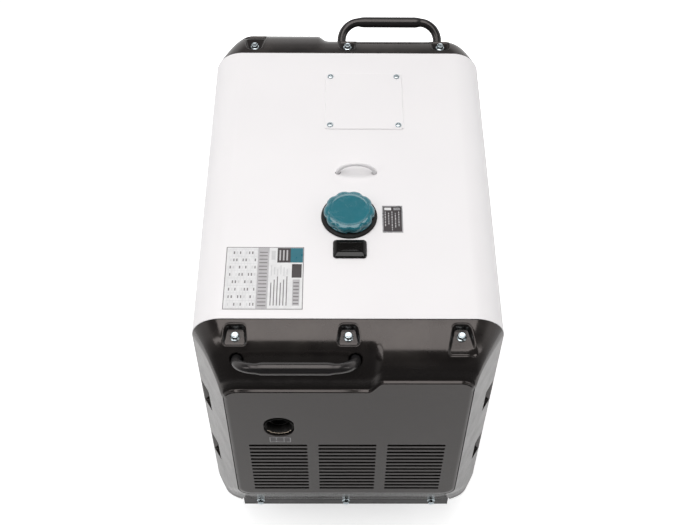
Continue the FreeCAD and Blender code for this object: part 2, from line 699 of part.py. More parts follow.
# Four rubber mounts, waisted, between the pan and the engine and alternator.
mounts = []
for x, y in ((-96, -140), (96, -140), (-96, 175), (96, 175)):
    mounts.append(turned("rubber_mount", [(0, 0), (20, 0), (20, 4), (16, 10), (16, 18), (20, 24), (20, 28), (0, 28)],
                         x, y, zt + 2))
node(group(mounts, "mount_group"), "engine_mounts")

# -------------------------------------------------------------------- casters
wr, ww = d.wheel_radius, d.wheel_width


def wheel(name, x, y):
    """Moulded wheel with a rounded tread, a web and a hub bored for the axle."""
    h2 = ww / 2
    b = turned(name + "_turned",
               [(d.axle_radius + d.run_fit, -h2), (12, -h2), (12, -h2 + 3), (26, -h2 + 5), (27.5, -h2 + 1), (30, -h2),
                (wr - 3, -h2), (wr - 0.8, -h2 + 2.5), (wr, -h2 + 7), (wr, h2 - 7), (wr - 0.8, h2 - 2.5), (wr - 3, h2),
                (30, h2), (27.5, h2 - 1), (26, h2 - 5), (12, h2 - 3), (12, h2), (d.axle_radius + d.run_fit, h2)],
               x, y, wr, ROT["x"])
    return node(b, name)


def axle(name, x, y):
    ln = ww / 2 + 6
    return fuse([cyl("x", d.axle_radius, y, wr, x - ln, x + ln),
                 hexrod("x", 13, y, wr, x - ln - 5, x - ln),
                 hexrod("x", 13, y, wr, x + ln, x + ln + 5)], name)


def cheeks(x, y, y_top0, y_top1, ztop):
    """Two side plates from the caster's top down to the axle."""
    out = []
    for sgn in (-1, 1):
        x0 = x + sgn * (ww / 2 + 4) - 2
        out.append(box(x0, x0 + 4, y_top0, y_top1, wr, ztop))
        out.append(cyl("x", 12, y, wr, x0, x0 + 4))
    return out


fixed = []
for sgn in (-1, 1):
    x, y = sgn * d.wheel_x, -d.wheel_y
    body = fuse([box(x - 34, x + 34, y - 42, y + 42, zb - 4, zb)] + cheeks(x, y, y - 12, y + 12, zb - 4), "fixed_bracket")
    fixed.append(cut(body, [cyl("x", d.axle_radius, y, wr, x - 40, x + 40)], "fixed_bracket_bored"))
node(group(fixed, "fixed_bracket_group"), "fixed_caster_brackets")
node(group([axle("front_axle_l", -d.wheel_x, -d.wheel_y), axle("front_axle_r", d.wheel_x, -d.wheel_y)],
           "front_axle_group"), "front_axles")
wheel("front_wheel_left", -d.wheel_x, -d.wheel_y)
wheel("front_wheel_right", d.wheel_x, -d.wheel_y)

# Swivel casters: plate with king pin, fork with trail, wheel and axle.
plates = []
for sgn in (-1, 1):
    x, y = sgn * d.wheel_x, d.wheel_y
    plates.append(fuse([box(x - 34, x + 34, y - 42, y + 42, zb - 4, zb),
                        cyl("z", 22, x, y, zb - 8, zb - 4),
                        cyl("z", 6, x, y, zb - 20, zb - 8),
                        cyl("z", 9, x, y, zb - 22.5, zb - 16.8)], "swivel_plate"))
node(group(plates, "swivel_plate_group"), "swivel_caster_plates")
for sgn, side in ((-1, "left"), (1, "right")):
    x, y = sgn * d.wheel_x, d.wheel_y
    ya = y + d.caster_trail
    crown = cyl("z", 24, x, y, zb - 16.5, zb - 8.3)
    bridge = box(x - 20, x + 20, y - 10, ya + 4, zb - 16.5, zb - 12.5)
    body = fuse([crown, bridge] + cheeks(x, ya, y + 4, ya + 8, zb - 12.5), "fork")
    node(cut(body, [cyl("z", 6 + d.run_fit, x, y, 60, zb), cyl("x", d.axle_radius, ya, wr, x - 40, x + 40)],
             "fork_bored_" + side), "caster_fork_" + side)
    node(axle("rear_axle_" + side + "_solid", x, ya), "rear_axle_" + side)
    wheel("rear_wheel_" + side, x, ya)

# --------------------------------------------------------------- lifting gear
az0, az1 = TOP - 63, TOP - 35
arch_in = d.rail_half - 25
node(fuse([box(-d.rail_half, -arch_in, d.eye_y - 15, d.eye_y + 15, zt + 2, az1),
           box(arch_in, d.rail_half, d.eye_y - 15, d.eye_y + 15, zt + 2, az1),
           box(-d.rail_half, d.rail_half, d.eye_y - 15, d.eye_y + 15, az0, az1)], "lifting_arch_solid"), "lifting_arch")
eye = bent_tube("eye_rod", d.eye_span / 2, d.eye_rise + 35, 25, d.eye_rod)
place(eye, d.eye_x, d.eye_y, TOP - 35, FreeCAD.Rotation(V(1, 0, 0), 90))
node(eye, "lifting_eye")

# ------------------------------------------------------------------ fuel parts
tank_box = fillet(box(-d.tank_half, d.tank_half, d.tank_front, d.tank_back, d.tank_bottom, d.tank_top),
                  18, lambda e: True, "tank_round")
tank_hollow = fillet(box(-d.tank_half + 2.5, d.tank_half - 2.5, d.tank_front + 2.5, d.tank_back - 2.5,
                         d.tank_bottom + 2.5, d.tank_top - 2.5), 15.5, lambda e: True, "tank_hollow")
nr = d.neck_radius
tank = cut(fuse([cut(tank_box, [tank_hollow], "tank_walls"),
                 cyl("z", nr, d.filler_x, d.filler_y, d.tank_top - 2.5, TOP + 10)], "tank_and_neck"),
           [cyl("z", nr - 2.5, d.filler_x, d.filler_y, d.tank_top - 6, TOP + 20),
            cyl("z", 6, d.gauge_x, d.gauge_y, d.tank_top - 10, d.tank_top + 5)], "fuel_tank_cut")
node(tank, "fuel_tank")

# Rubber ring that seals the neck to the canopy: lip above, groove in the hole.
gr = d.grommet_radius
node(turned("grommet", [(nr + d.clearance, -5), (gr - 3.3, -5), (gr - 3.3, 0), (gr, 0), (gr, 2.6), (gr - 1.6, 4.6), (gr - 4, 5.2),
                        (nr + d.clearance, 5.2)], d.filler_x, d.filler_y, TOP), "filler_grommet")

# Fuel cap: scalloped rim round a flat-topped disc, hollow below over the neck.
cr = d.cap_radius
cap = turned("cap_turned", [(0, 12), (nr + 1.2, 12), (nr + 1.2, 5.8), (cr - 4, 5.8), (cr, 8.5), (cr, 16), (cr - 1.5, 19),
                            (cr - 5.5, 21.5), (cr - 7, 22.5), (0, 22.5)], d.filler_x, d.filler_y, TOP)
scallops = []
for k in range(10):
    a = 2 * math.pi * (k + 0.5) / 10
    scallops.append(cyl("z", 9, d.filler_x + (cr + 5.6) * math.cos(a), d.filler_y + (cr + 5.6) * math.sin(a),
                        TOP, TOP + 30))
node(cut(cap, scallops, "fuel_cap_cut"), "fuel_cap")

# Fuel gauge: housing through the canopy, needle on a pin, domed dark window.
gx0, gx1 = d.gauge_x - d.gauge_w / 2, d.gauge_x + d.gauge_w / 2
gy0, gy1 = d.gauge_y - d.gauge_l / 2, d.gauge_y + d.gauge_l / 2
housing = cut(box(gx0 + 2.5, gx1 - 2.5, gy0 + 2.5, gy1 - 2.5, TOP - 14, TOP + 0.5),
              [box(gx0 + 5, gx1 - 5, gy0 + 5, gy1 - 5, TOP - 11, TOP + 5)], "gauge_cup")
node(fuse([housing, cyl("z", 1.2, d.gauge_x, d.gauge_y, TOP - 11, TOP - 4),
           cyl("z", 5, d.gauge_x, d.gauge_y, d.tank_top + 0.3, TOP - 14)], "gauge_housing_solid"), "fuel_gauge_housing")
node(cut(fuse([cyl("z", 3, d.gauge_x, d.gauge_y, TOP - 7, TOP - 4.6),
               box(d.gauge_x - 1, d.gauge_x + 1, d.gauge_y, d.gauge_y + 12, TOP - 6.2, TOP - 5.2)], "needle_solid"),
         [cyl("z", 1.2 + d.run_fit, d.gauge_x, d.gauge_y, TOP - 12, TOP)], "needle_cut"), "fuel_gauge_needle")
win = fillet(box(gx0, gx1, gy0, gy1, TOP + 0.5, TOP + 9), 6, along("z"), "window_corners")
win = fillet(win, 4, lambda e: e.CenterOfMass.z > val(TOP) + 8.9, "window_dome")
node(cut(win, [box(gx0 + 5, gx1 - 5, gy0 + 5, gy1 - 5, TOP - 5, TOP + 6)], "window_cut"), "fuel_gauge_window")

# Stick-on plates on the canopy top.
node(padded("data_plate_body", "XY_Plane", rect(0, 137, 0, 133), 0.4, -215, -306, TOP), "data_plate")
node(padded("caution_plate_body", "XY_Plane", rect(0, 37, 0, 62), 0.4, 62, -139.5, TOP), "caution_plate")

# --------------------------------------------------------------- service door
xo = half_w
door = fuse([box(xo - T, xo, -d.door_half, d.door_half, d.door_low, d.door_high),
             box(xo - 12, xo - T, -d.door_half + 30, d.door_half, d.door_low, d.door_low + 2),
             box(xo - 12, xo - T, -d.door_half + 30, d.door_half, d.door_high - 2, d.door_high),
             box(xo - 12, xo - T, d.door_half - 2, d.door_half, d.door_low, d.door_high)], "door_solid")
LATCH_Y = -d.door_half + 26
node(cut(door, [cyl("x", 5 + 0.3, LATCH_Y, z, xo - 20, xo + 10) for z in (300, 580)], "door_cut"), "service_door")
for z, nm in ((580, "door_latch_upper"), (300, "door_latch_lower")):
    knob = fuse([cyl("x", 14, LATCH_Y, z, xo + 0.3, xo + 5), cyl("x", 5, LATCH_Y, z, xo - 9, xo + 0.3),
                 box(xo - 9, xo - 5, LATCH_Y - 7, LATCH_Y + 7, z - 34, z + 7)], nm + "_solid")
    node(cut(knob, [box(xo + 2.5, xo + 6, LATCH_Y - 10, LATCH_Y + 10, z - 1.5, z + 1.5)], nm + "_cut"), nm)
# Two butt hinges on the door's rear edge, knuckles on the outside.
px, py = xo + 5, d.door_half + 1
fixed_leaf, door_leaf, pins = [], [], []
for z in (285, 595):
    k0 = 28
    ring_f = [cyl("z", 4.7, px, py, z - k0, z - 10), cyl("z", 4.7, px, py, z + 10, z + k0)]
    leaf = cut(box(xo, xo + 2, py + 2, py + 30, z - k0, z + k0), [box(xo - 1, xo + 3, py, py + 5.4, z - 10.4, z + 10.4)], "leaf")
    fixed_leaf.append(cut(fuse([leaf] + ring_f, "fixed_leaf"), [cyl("z", 2.5, px, py, z - 40, z + 40)], "fixed_leaf_bored"))
    ring_d = cyl("z", 4.7, px, py, z - 9.7, z + 9.7)
    web = box(xo + 0.1, xo + 2, py - 30, py - 1.5, z - 9.7, z + 9.7)
    door_leaf.append(cut(fuse([ring_d, web], "door_leaf"), [cyl("z", 2.5 + d.run_fit, px, py, z - 40, z + 40)],
                         "door_leaf_bored"))
    pins.append(cyl("z", 2.5, px, py, z - k0 - 1, z + k0 + 1))
node(group(fixed_leaf, "fixed_leaf_group"), "hinge_fixed_leaves")
node(group(door_leaf, "door_leaf_group"), "hinge_door_leaves")
node(group(pins, "hinge_pin_group"), "hinge_pins")

# --------------------------------------------------------------------- engine
cz = d.crank_z
case = cut(fuse([box(-105, 105, -215, -25, zt + 40, 420), box(-118, 118, -165, -115, zt + 30, zt + 46)], "case_solid"),
           [cyl("y", 84, 0, cz, -200, -40), cyl("y", 22 + d.clearance, 0, cz, -230, 0),
            cyl("z", 43, 0, -120, 330, 430)], "crankcase_cut")
node(case, "crankcase")
fins = []
barrel = [cyl("z", 56, 0, -120, 420, 560, "barrel")]
for k in range(8):
    barrel.append(box(-78, 78, -196, -44, 428 + k * 14, 434 + k * 14, "fin"))
node(cut(fuse(barrel + [box(-70, 70, -190, -50, 545, 575)], "barrel_solid"),
         [cyl("z", 43, 0, -120, 400, 545.0)], "cylinder_cut"), "cylinder_block")
node(fillet(box(-60, 60, -180, -60, 575, 612), 10, lambda e: e.CenterOfMass.z > 580, "rocker_round"), "rocker_cover")
# Crankshaft: main journals, two webs and the crank pin inside the crankcase.
crank = fuse([cyl("y", 22, 0, cz, -288, -145), cyl("y", 22, 0, cz, -95, -12),
              box(-26, 26, -155, -140, cz - 60, cz + 50), box(-26, 26, -100, -85, cz - 60, cz + 50),
              cyl("y", 16, 0, cz + 32, -141, -99)], "crankshaft_solid")
node(crank, "crankshaft")
fr = d.flywheel_radius
blades = []
for k in range(16):
    a = 2 * math.pi * k / 16
    b = box(-1.5, 1.5, -276, -256, 52, fr - 4)
    b.Placement = FreeCAD.Placement(V(0, 0, val(cz)), FreeCAD.Rotation(V(0, 1, 0), 360.0 * k / 16)).multiply(
        FreeCAD.Placement(V(-1.5, -276, 52), FreeCAD.Rotation()))
    blades.append(b)
node(cut(fuse([cyl("y", fr, 0, cz, -256, -234, "flywheel_disc"), cyl("y", 45, 0, cz, -278, -256)] + blades, "flywheel_solid"),
         [cyl("y", 22, 0, cz, -300, -220)], "flywheel_cut"), "flywheel")
sr = fr + 16
shroud = cut(cyl("y", sr, 0, cz, -300, -220, "shroud_outer"),
             [cyl("y", sr - 3, 0, cz, -297, -215), cyl("y", 70, 0, cz, -310, -290)], "fan_shroud_cut")
node(shroud, "fan_shroud")
mx, mz, mr = d.muffler_x, d.muffler_z, d.muffler_radius
node(fuse([fillet(cyl("y", mr, mx, mz, -250, -60, "muffler_can"), 12, lambda e: True, "muffler_round"),
           box(mx + 30, -78, -140, -105, mz - 14, mz + 10)], "muffler_solid"), "muffler")
pr = d.pipe_radius
node(cut(fuse([cyl("y", pr, d.exhaust_x, d.exhaust_z, SY - d.cover_depth + 14, -250, "tailpipe_outer"),
               cyl("y", pr + 8, d.exhaust_x, d.exhaust_z, -256, -250.0)], "tailpipe_solid"),
         [cyl("y", pr - 2, d.exhaust_x, d.exhaust_z, SY - d.cover_depth, -256)], "tailpipe_cut"), "exhaust_tailpipe")
node(fuse([cyl("y", 34, 142, 330, -212, -95, "starter_can"), box(105, 130, -185, -130, 312, 348),
           cyl("y", 17, 160, 372, -200, -120, "solenoid")], "starter_solid"), "starter_motor")
node(fuse([fillet(cyl("y", 46, 150, 555, -205, -95, "filter_can"), 8, lambda e: True, "filter_round"),
           box(70, 120, -140, -100, 548, 572)], "air_filter_solid"), "air_filter")

# ----------------------------------------------------------------- alternator
st = d.stator_radius
feet = [box(-112, 112, 155, 195, zt + 30, zt + 46)]
node(cut(fuse([cyl("y", st, 0, cz, -2, 205, "stator_can")] + feet, "stator_solid"),
         [cyl("y", 92, 0, cz, 14, 195), cyl("y", 20, 0, cz, -10, 20), cyl("y", 14 + d.run_fit, 0, cz, 190, 210)],
         "stator_cut"), "alternator_stator")
node(fuse([cyl("y", 88, 0, cz, 30, 170, "rotor_core"), cyl("y", 17, 0, cz, -12, 30, "rotor_shaft_front"),
           cyl("y", 14, 0, cz, 170, 203, "rotor_shaft_rear")], "rotor_solid"), "alternator_rotor")

# Battery beside the alternator, with two posts.
node(fuse([fillet(box(134, 234, 60, 250, zt + 6, 298), 5, along("z"), "battery_case"), box(140, 214, 70, 240, zt + 2, zt + 6),
           cyl("z", 8, 160, 80, 290, 308), cyl("z", 8, 160, 230, 290, 308)], "battery_solid"), "battery")

# -------------------------------------------------------------- control panel
yp = half_l + d.cover_depth - d.cover_wall          # inside of the rear face
pan = box(-d.panel_half - 14, d.panel_half + 14, yp - 6.2, yp - 0.2, d.panel_low - 14, d.panel_high + 14, "panel_plate")
KEY = (-110, 570)
STOP = (-110, 480)
LEVER = (110, 575)
METER = (0, 575)
SOCK = [(-10, 455), (55, 455), (120, 455)]
node(cut(pan, [cyl("y", 5 + d.run_fit, KEY[0], KEY[1], yp - 20, yp + 10),
               cyl("y", 9 + d.run_fit, STOP[0], STOP[1], yp - 20, yp + 10),
               box(LEVER[0] - 9, LEVER[0] + 9, yp - 20, yp + 10, LEVER[1] - 22, LEVER[1] + 22),
               box(METER[0] - 34, METER[0] + 34, yp - 20, yp + 10, METER[1] - 20, METER[1] + 20)]
         + [cyl("y", 21.5, x, z, yp - 20, yp + 10) for x, z in SOCK], "panel_cut"), "control_panel")
node(cut(box(METER[0] - 33.5, METER[0] + 33.5, yp - 22, yp - 0.5, METER[1] - 19.5, METER[1] + 19.5),
         [box(METER[0] - 28, METER[0] + 28, yp - 2.5, yp + 5, METER[1] - 14, METER[1] + 14)], "meter_cut"), "panel_meter")
socks = []
for x, z in SOCK:
    socks.append(cut(fuse([cyl("y", 21, x, z, yp - 26, yp - 0.2), cyl("y", 27, x, z, yp - 0.2, yp + 3)], "socket_solid"),
                     [cyl("y", 18.5, x, z, yp - 10, yp + 10),
                      cyl("y", 2.6, x - 9.5, z, yp - 22, yp), cyl("y", 2.6, x + 9.5, z, yp - 22, yp)], "socket_cut"))
node(group(socks, "socket_group"), "ac_sockets")
# Breaker: fixed body behind the panel, lever on a pin; it throws up and down.
bx, bz, byy = LEVER[0], LEVER[1], yp - 7
node(cut(box(bx - 8.7, bx + 8.7, yp - 45, yp - 0.2, bz - 21.7, bz + 21.7),
         [box(bx - 5, bx + 5, yp - 18, yp + 5, bz - 15, bz + 15), cyl("x", 1.5 + d.run_fit, byy, bz, bx - 7, bx + 7)],
         "breaker_body_cut"), "circuit_breaker")
lever = fuse([cyl("x", 6.5, byy, bz, bx - 4.6, bx + 4.6), cyl("x", 1.5, byy, bz, bx - 6.8, bx + 6.8)], "lever_hub")
blade = box(bx - 4, bx + 4, yp - 7, yp + 11, bz - 2.5, bz + 2.5)
lever_all = fuse([lever, blade], "lever_solid")
# thrown 25 degrees up at rest
_c = V(0, val(byy), bz)
lever_all.Placement = FreeCAD.Placement(_c, FreeCAD.Rotation(V(1, 0, 0), 25)).multiply(
    FreeCAD.Placement(_c.negative(), FreeCAD.Rotation()))
node(lever_all, "breaker_lever")
node(fuse([cyl("y", 5, KEY[0], KEY[1], yp - 24, yp - 0.2), cyl("y", 11, KEY[0], KEY[1], yp + 0.1, yp + 3),
           cyl("y", 5, KEY[0], KEY[1], yp - 0.2, yp + 0.1),
           box(KEY[0] - 1.2, KEY[0] + 1.2, yp + 3, yp + 24, KEY[1] - 10, KEY[1] + 10)], "key_solid"), "start_key")
node(fuse([cyl("y", 9, STOP[0], STOP[1], yp - 24, yp + 6), cyl("y", 18, STOP[0], STOP[1], yp + 6, yp + 14)],
          "stop_solid"), "stop_button")

# --------------------------------------------------------------------- output
doc.recompute()
bad = [(o.Name, o.Label, o.State) for o in doc.Objects if "Invalid" in o.State or "Error" in o.State]
if bad:
    raise SystemExit("failed objects: %r" % (bad,))
names = [n for _, n in NODES]
if len(set(names)) != len(names) or len(names) > 60:
    raise SystemExit("node names repeated or too many: %d" % len(names))
os.makedirs("parts", exist_ok=True)
for obj, name in NODES:
    shp = obj.Shape
    if shp.isNull() or not shp.isValid() or not shp.Solids:
        raise SystemExit("bad shape: " + name)
    bb = shp.BoundBox
    print("%-24s solids %2d  vol %10.1f  x %.1f..%.1f  y %.1f..%.1f  z %.1f..%.1f" % (
        name, len(shp.Solids), shp.Volume / 1000.0, bb.XMin, bb.XMax, bb.YMin, bb.YMax, bb.ZMin, bb.ZMax))
    shp.exportStep(os.path.join("parts", name + ".step"))
print("nodes:", len(names))
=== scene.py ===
import bpy
import bmesh
import json
import math
import numpy as np
from mathutils import Vector, Matrix, Quaternion, geometry

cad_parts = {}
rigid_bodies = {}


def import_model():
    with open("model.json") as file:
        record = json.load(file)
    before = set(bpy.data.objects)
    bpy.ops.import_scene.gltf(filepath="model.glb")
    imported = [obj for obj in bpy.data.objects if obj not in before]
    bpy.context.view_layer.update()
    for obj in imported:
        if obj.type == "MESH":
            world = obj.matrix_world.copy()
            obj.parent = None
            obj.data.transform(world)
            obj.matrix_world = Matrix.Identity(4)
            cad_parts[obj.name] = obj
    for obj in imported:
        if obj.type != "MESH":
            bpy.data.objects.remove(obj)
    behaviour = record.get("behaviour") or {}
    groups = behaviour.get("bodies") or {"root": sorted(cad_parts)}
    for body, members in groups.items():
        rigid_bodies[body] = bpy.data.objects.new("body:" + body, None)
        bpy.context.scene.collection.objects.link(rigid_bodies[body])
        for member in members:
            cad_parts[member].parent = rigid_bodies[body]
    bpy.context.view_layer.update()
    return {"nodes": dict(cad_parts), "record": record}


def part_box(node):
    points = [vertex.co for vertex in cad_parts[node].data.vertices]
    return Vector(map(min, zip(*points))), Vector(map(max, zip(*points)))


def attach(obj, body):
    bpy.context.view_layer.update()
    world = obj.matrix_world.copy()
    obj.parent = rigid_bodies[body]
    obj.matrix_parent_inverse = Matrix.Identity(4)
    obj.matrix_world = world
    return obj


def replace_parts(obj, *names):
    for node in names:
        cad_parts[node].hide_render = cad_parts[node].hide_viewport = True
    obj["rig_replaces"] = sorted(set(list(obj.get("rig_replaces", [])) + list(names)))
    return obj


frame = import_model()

NODES = frame["nodes"]
scene = bpy.context.scene
MM = 0.001

# Lengths below are millimetres in the row frame unless a name ends in _m.
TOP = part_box("canopy_shell")[1].z / MM
HALF_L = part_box("canopy_shell")[1].y / MM
HALF_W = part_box("canopy_shell")[1].x / MM
DEPTH = 95.0
BODY_OF = {n: b for b, ns in frame["record"]["behaviour"]["bodies"].items() for n in ns}


# ----------------------------------------------------------------- materials
class Mat(object):
    """A node material with layered procedural detail."""

    def __init__(self, name, color, rough=0.5, metal=0.0, ior=1.5, spec=None):
        self.m = bpy.data.materials.new(name)
        self.m.use_nodes = True
        self.t = self.m.node_tree
        self.n = self.t.nodes
        self.b = self.n["Principled BSDF"]
        self.b.inputs["Base Color"].default_value = (*color, 1)
        self.b.inputs["Roughness"].default_value = rough
        self.b.inputs["Metallic"].default_value = metal
        self.b.inputs["IOR"].default_value = ior
        if spec is not None:
            self.b.inputs["Specular IOR Level"].default_value = spec
        self.coord = self.n.new("ShaderNodeTexCoord").outputs["Object"]
        self.color = None
        self.rough = None
        self.normal = None
        self.base = color
        self.base_rough = rough

    def link(self, a, b):
        self.t.links.new(a, b)

    def math(self, op, a, b=None, clamp=False):
        nd = self.n.new("ShaderNodeMath")
        nd.operation = op
        nd.use_clamp = clamp
        for i, v in enumerate((a, b)):
            if v is None:
                continue
            if isinstance(v, (int, float)):
                nd.inputs[i].default_value = v
            else:
                self.link(v, nd.inputs[i])
        return nd.outputs[0]

    def noise(self, scale, detail=4, rough=0.55, distortion=0.0, stretch=None):
        src = self.coord
        if stretch:
            mp = self.n.new("ShaderNodeMapping")
            mp.inputs["Scale"].default_value = stretch
            self.link(src, mp.inputs["Vector"])
            src = mp.outputs["Vector"]
        nd = self.n.new("ShaderNodeTexNoise")
        nd.inputs["Scale"].default_value = scale
        nd.inputs["Detail"].default_value = detail
        nd.inputs["Roughness"].default_value = rough
        nd.inputs["Distortion"].default_value = distortion
        self.link(src, nd.inputs["Vector"])
        return nd.outputs["Fac"]

    def voronoi(self, scale, feature="F1", out="Distance", rand=1.0):
        nd = self.n.new("ShaderNodeTexVoronoi")
        nd.feature = feature
        nd.inputs["Scale"].default_value = scale
        nd.inputs["Randomness"].default_value = rand
        self.link(self.coord, nd.inputs["Vector"])
        return nd.outputs[out]

    def ramp(self, fac, lo, hi, v0=0.0, v1=1.0):
        nd = self.n.new("ShaderNodeMapRange")
        nd.interpolation_type = "SMOOTHSTEP"
        self.link(fac, nd.inputs["Value"])
        for k, v in (("From Min", lo), ("From Max", hi), ("To Min", v0), ("To Max", v1)):
            nd.inputs[k].default_value = v
        return nd.outputs["Result"]

    def vary(self, scale, amount, detail=4, stretch=None):
        """Light and dark clouding of the base colour by +-amount."""
        f = self.noise(scale, detail, stretch=stretch)
        lo = tuple(max(0.0, c * (1 - amount)) for c in self.base)
        hi = tuple(min(1.0, c * (1 + amount)) for c in self.base)
        mx = self.n.new("ShaderNodeMix")
        mx.data_type = "RGBA"
        mx.inputs["A"].default_value = (*lo, 1)
        mx.inputs["B"].default_value = (*hi, 1)
        self.link(self.ramp(f, 0.3, 0.7), mx.inputs["Factor"])
        self.color = mx.outputs["Result"]
        return self

    def blend(self, fac, color):
        """Mix another colour over what is there, by fac."""
        mx = self.n.new("ShaderNodeMix")
        mx.data_type = "RGBA"
        if self.color is None:
            mx.inputs["A"].default_value = (*self.base, 1)
        else:
            self.link(self.color, mx.inputs["A"])
        mx.inputs["B"].default_value = (*color, 1)
        self.link(fac, mx.inputs["Factor"])
        self.color = mx.outputs["Result"]
        return self

    def vary_rough(self, scale, lo, hi, detail=5, stretch=None):
        f = self.noise(scale, detail, stretch=stretch)
        self.rough = self.ramp(f, 0.25, 0.75, lo, hi)
        return self

    def add_rough(self, fac, amount):
        base = self.rough if self.rough is not None else self.base_rough
        self.rough = self.math("ADD", base, self.math("MULTIPLY", fac, amount), True)
        return self

    def bump(self, height, strength, distance=0.0005):
        nd = self.n.new("ShaderNodeBump")
        nd.inputs["Strength"].default_value = strength
        nd.inputs["Distance"].default_value = distance
        self.link(height, nd.inputs["Height"])
        if self.normal is not None:
            self.link(self.normal, nd.inputs["Normal"])
        self.normal = nd.outputs["Normal"]
        return self

    def edges(self, color, amount=0.6, lo=0.52, hi=0.62, breakup=60):
        """Lighter colour where the surface is convex, broken up by noise: edge wear on most parts, a painted highlight
        on the fuel cap.
        """
        g = self.n.new("ShaderNodeNewGeometry").outputs["Pointiness"]
        f = self.ramp(g, lo, hi)
        f = self.math("MULTIPLY", f, self.ramp(self.noise(breakup, 5), 0.42, 0.62))
        return self.blend(self.math("MULTIPLY", f, amount), color)

    def dust(self, color=(0.5, 0.47, 0.43), amount=0.12, scale=14):
        """Dust settles where the surface faces up."""
        g = self.n.new("ShaderNodeNewGeometry").outputs["Normal"]
        sep = self.n.new("ShaderNodeSeparateXYZ")
        self.link(g, sep.inputs[0])
        up = self.ramp(sep.outputs["Z"], 0.2, 1.0)
        f = self.math("MULTIPLY", up, self.ramp(self.noise(scale, 6), 0.35, 0.75))
        f = self.math("MULTIPLY", f, amount)
        self.blend(f, color)
        return self.add_rough(f, 0.8)

    def coat(self, weight, rough):
        self.b.inputs["Coat Weight"].default_value = weight
        self.b.inputs["Coat Roughness"].default_value = rough
        return self

    def done(self):
        if self.color is not None:
            self.link(self.color, self.b.inputs["Base Color"])
        if self.rough is not None:
            self.link(self.rough, self.b.inputs["Roughness"])
        if self.normal is not None:
            self.link(self.normal, self.b.inputs["Normal"])
        return self.m


def attr_fac(mt, name):
    nd = mt.n.new("ShaderNodeAttribute")
    nd.attribute_type = "GEOMETRY"
    nd.attribute_name = name
    return nd.outputs["Fac"]


M = {}
# powder-coated white sheet: faint clouding, orange peel and rounded-off edges
k = Mat("canopy_white", (0.748, 0.735, 0.743), 0.38, 0, 1.5)
k.vary(3.0, 0.012, 3).vary_rough(9, 0.34, 0.46)
k.dust((0.62, 0.60, 0.57), 0.05, 9)
k.bump(k.noise(650, 2, 0.4), 0.06, 0.0004).bump(k.noise(5.0, 2), 0.05, 0.004)
M["canopy_white"] = k.done()

# end-cover moulding: deep grey gloss, finest orange peel, darker in its pockets, wells and slot walls by painted shade
k = Mat("cover_grey", (0.0110, 0.0096, 0.0094), 0.17, 0, 1.50)
k.b.inputs["Specular Tint"].default_value = (1.0, 0.915, 0.88, 1)
k.vary(7, 0.10, 4).vary_rough(26, 0.13, 0.22)
# painted shade: the pocket mask blends the cover toward near-black in its recesses
k.blend(attr_fac(k, "pocket"), (0.004, 0.004, 0.0045))
k.dust((0.30, 0.27, 0.24), 0.05, 16)
k.edges((0.11, 0.10, 0.095), 0.35, 0.53, 0.64)
k.bump(k.noise(900, 3, 0.5), 0.05, 0.0003).bump(k.noise(22, 3), 0.05, 0.002)
M["cover_grey"] = k.done()

k = Mat("frame_black", (0.032, 0.031, 0.031), 0.36, 0, 1.55)
k.vary(12, 0.12, 4).vary_rough(30, 0.30, 0.46)
k.dust((0.30, 0.28, 0.25), 0.10, 20).edges((0.16, 0.15, 0.14), 0.5)
k.bump(k.noise(700, 3), 0.10, 0.0004)
M["frame_black"] = k.done()

# handle: thick glossy black coating over the tube
k = Mat("handle_coating", (0.014, 0.0135, 0.014), 0.22, 0, 1.50)
k.b.inputs["Specular Tint"].default_value = (1.0, 0.93, 0.90, 1)
k.vary(20, 0.12, 4).vary_rough(14, 0.19, 0.27)
k.edges((0.08, 0.075, 0.07), 0.3)
k.bump(k.noise(1400, 3), 0.025, 0.0002).bump(k.noise(18, 2), 0.03, 0.001)
M["handle_coating"] = k.done()

# zinc plate: crystalline clouding, fine grain and a faint blue cast
k = Mat("zinc_steel", (0.56, 0.63, 0.66), 0.26, 1.0)
k.vary(240, 0.06, 4).vary_rough(260, 0.20, 0.32)
k.blend(k.ramp(k.noise(420, 3), 0.58, 0.74, 0, 0.22), (0.50, 0.56, 0.60))
k.bump(k.noise(900, 4), 0.10, 0.0002)
M["zinc_steel"] = k.done()

k = Mat("rubber_black", (0.006, 0.006, 0.006), 0.5, 0, 1.38)
k.vary(40, 0.25, 5).vary_rough(60, 0.52, 0.74)
k.dust((0.10, 0.095, 0.09), 0.05, 30)
k.bump(k.noise(1500, 4), 0.14, 0.0003).bump(k.noise(160, 4), 0.08, 0.0006)
M["rubber_black"] = k.done()

k = Mat("tyre_grey", (0.045, 0.045, 0.047), 0.58, 0, 1.5)
k.vary(40, 0.2, 5).vary_rough(70, 0.48, 0.72)
k.dust((0.22, 0.20, 0.18), 0.14, 30)
k.bump(k.noise(900, 5), 0.16, 0.0004)
M["tyre_grey"] = k.done()

k = Mat("cap_teal", (0.014, 0.135, 0.172), 0.20, 0, 1.46)
k.vary(30, 0.05, 4).vary_rough(80, 0.18, 0.32)
# painted highlight: lighter teal along the cap's convex edges
k.edges((0.16, 0.50, 0.54), 0.35, 0.53, 0.66)
k.bump(k.noise(1300, 3), 0.05, 0.0003)
k.coat(0.8, 0.04)
M["cap_teal"] = k.done()

k = Mat("black_plastic", (0.012, 0.012, 0.013), 0.34, 0, 1.5)
k.vary(50, 0.2, 4).vary_rough(90, 0.28, 0.44)
k.bump(k.voronoi(1600), 0.10, 0.0003)
M["black_plastic"] = k.done()

k = Mat("smoked_window", (0.004, 0.0036, 0.0034), 0.08, 0, 1.38)
k.vary(60, 0.2, 3).vary_rough(40, 0.07, 0.16)
k.bump(k.noise(40, 2), 0.03, 0.001)
k.coat(0.05, 0.05)
M["smoked_window"] = k.done()

k = Mat("needle_orange", (0.80, 0.22, 0.04), 0.4)
k.vary(300, 0.08).bump(k.noise(2000), 0.05, 0.0002)
M["needle_orange"] = k.done()

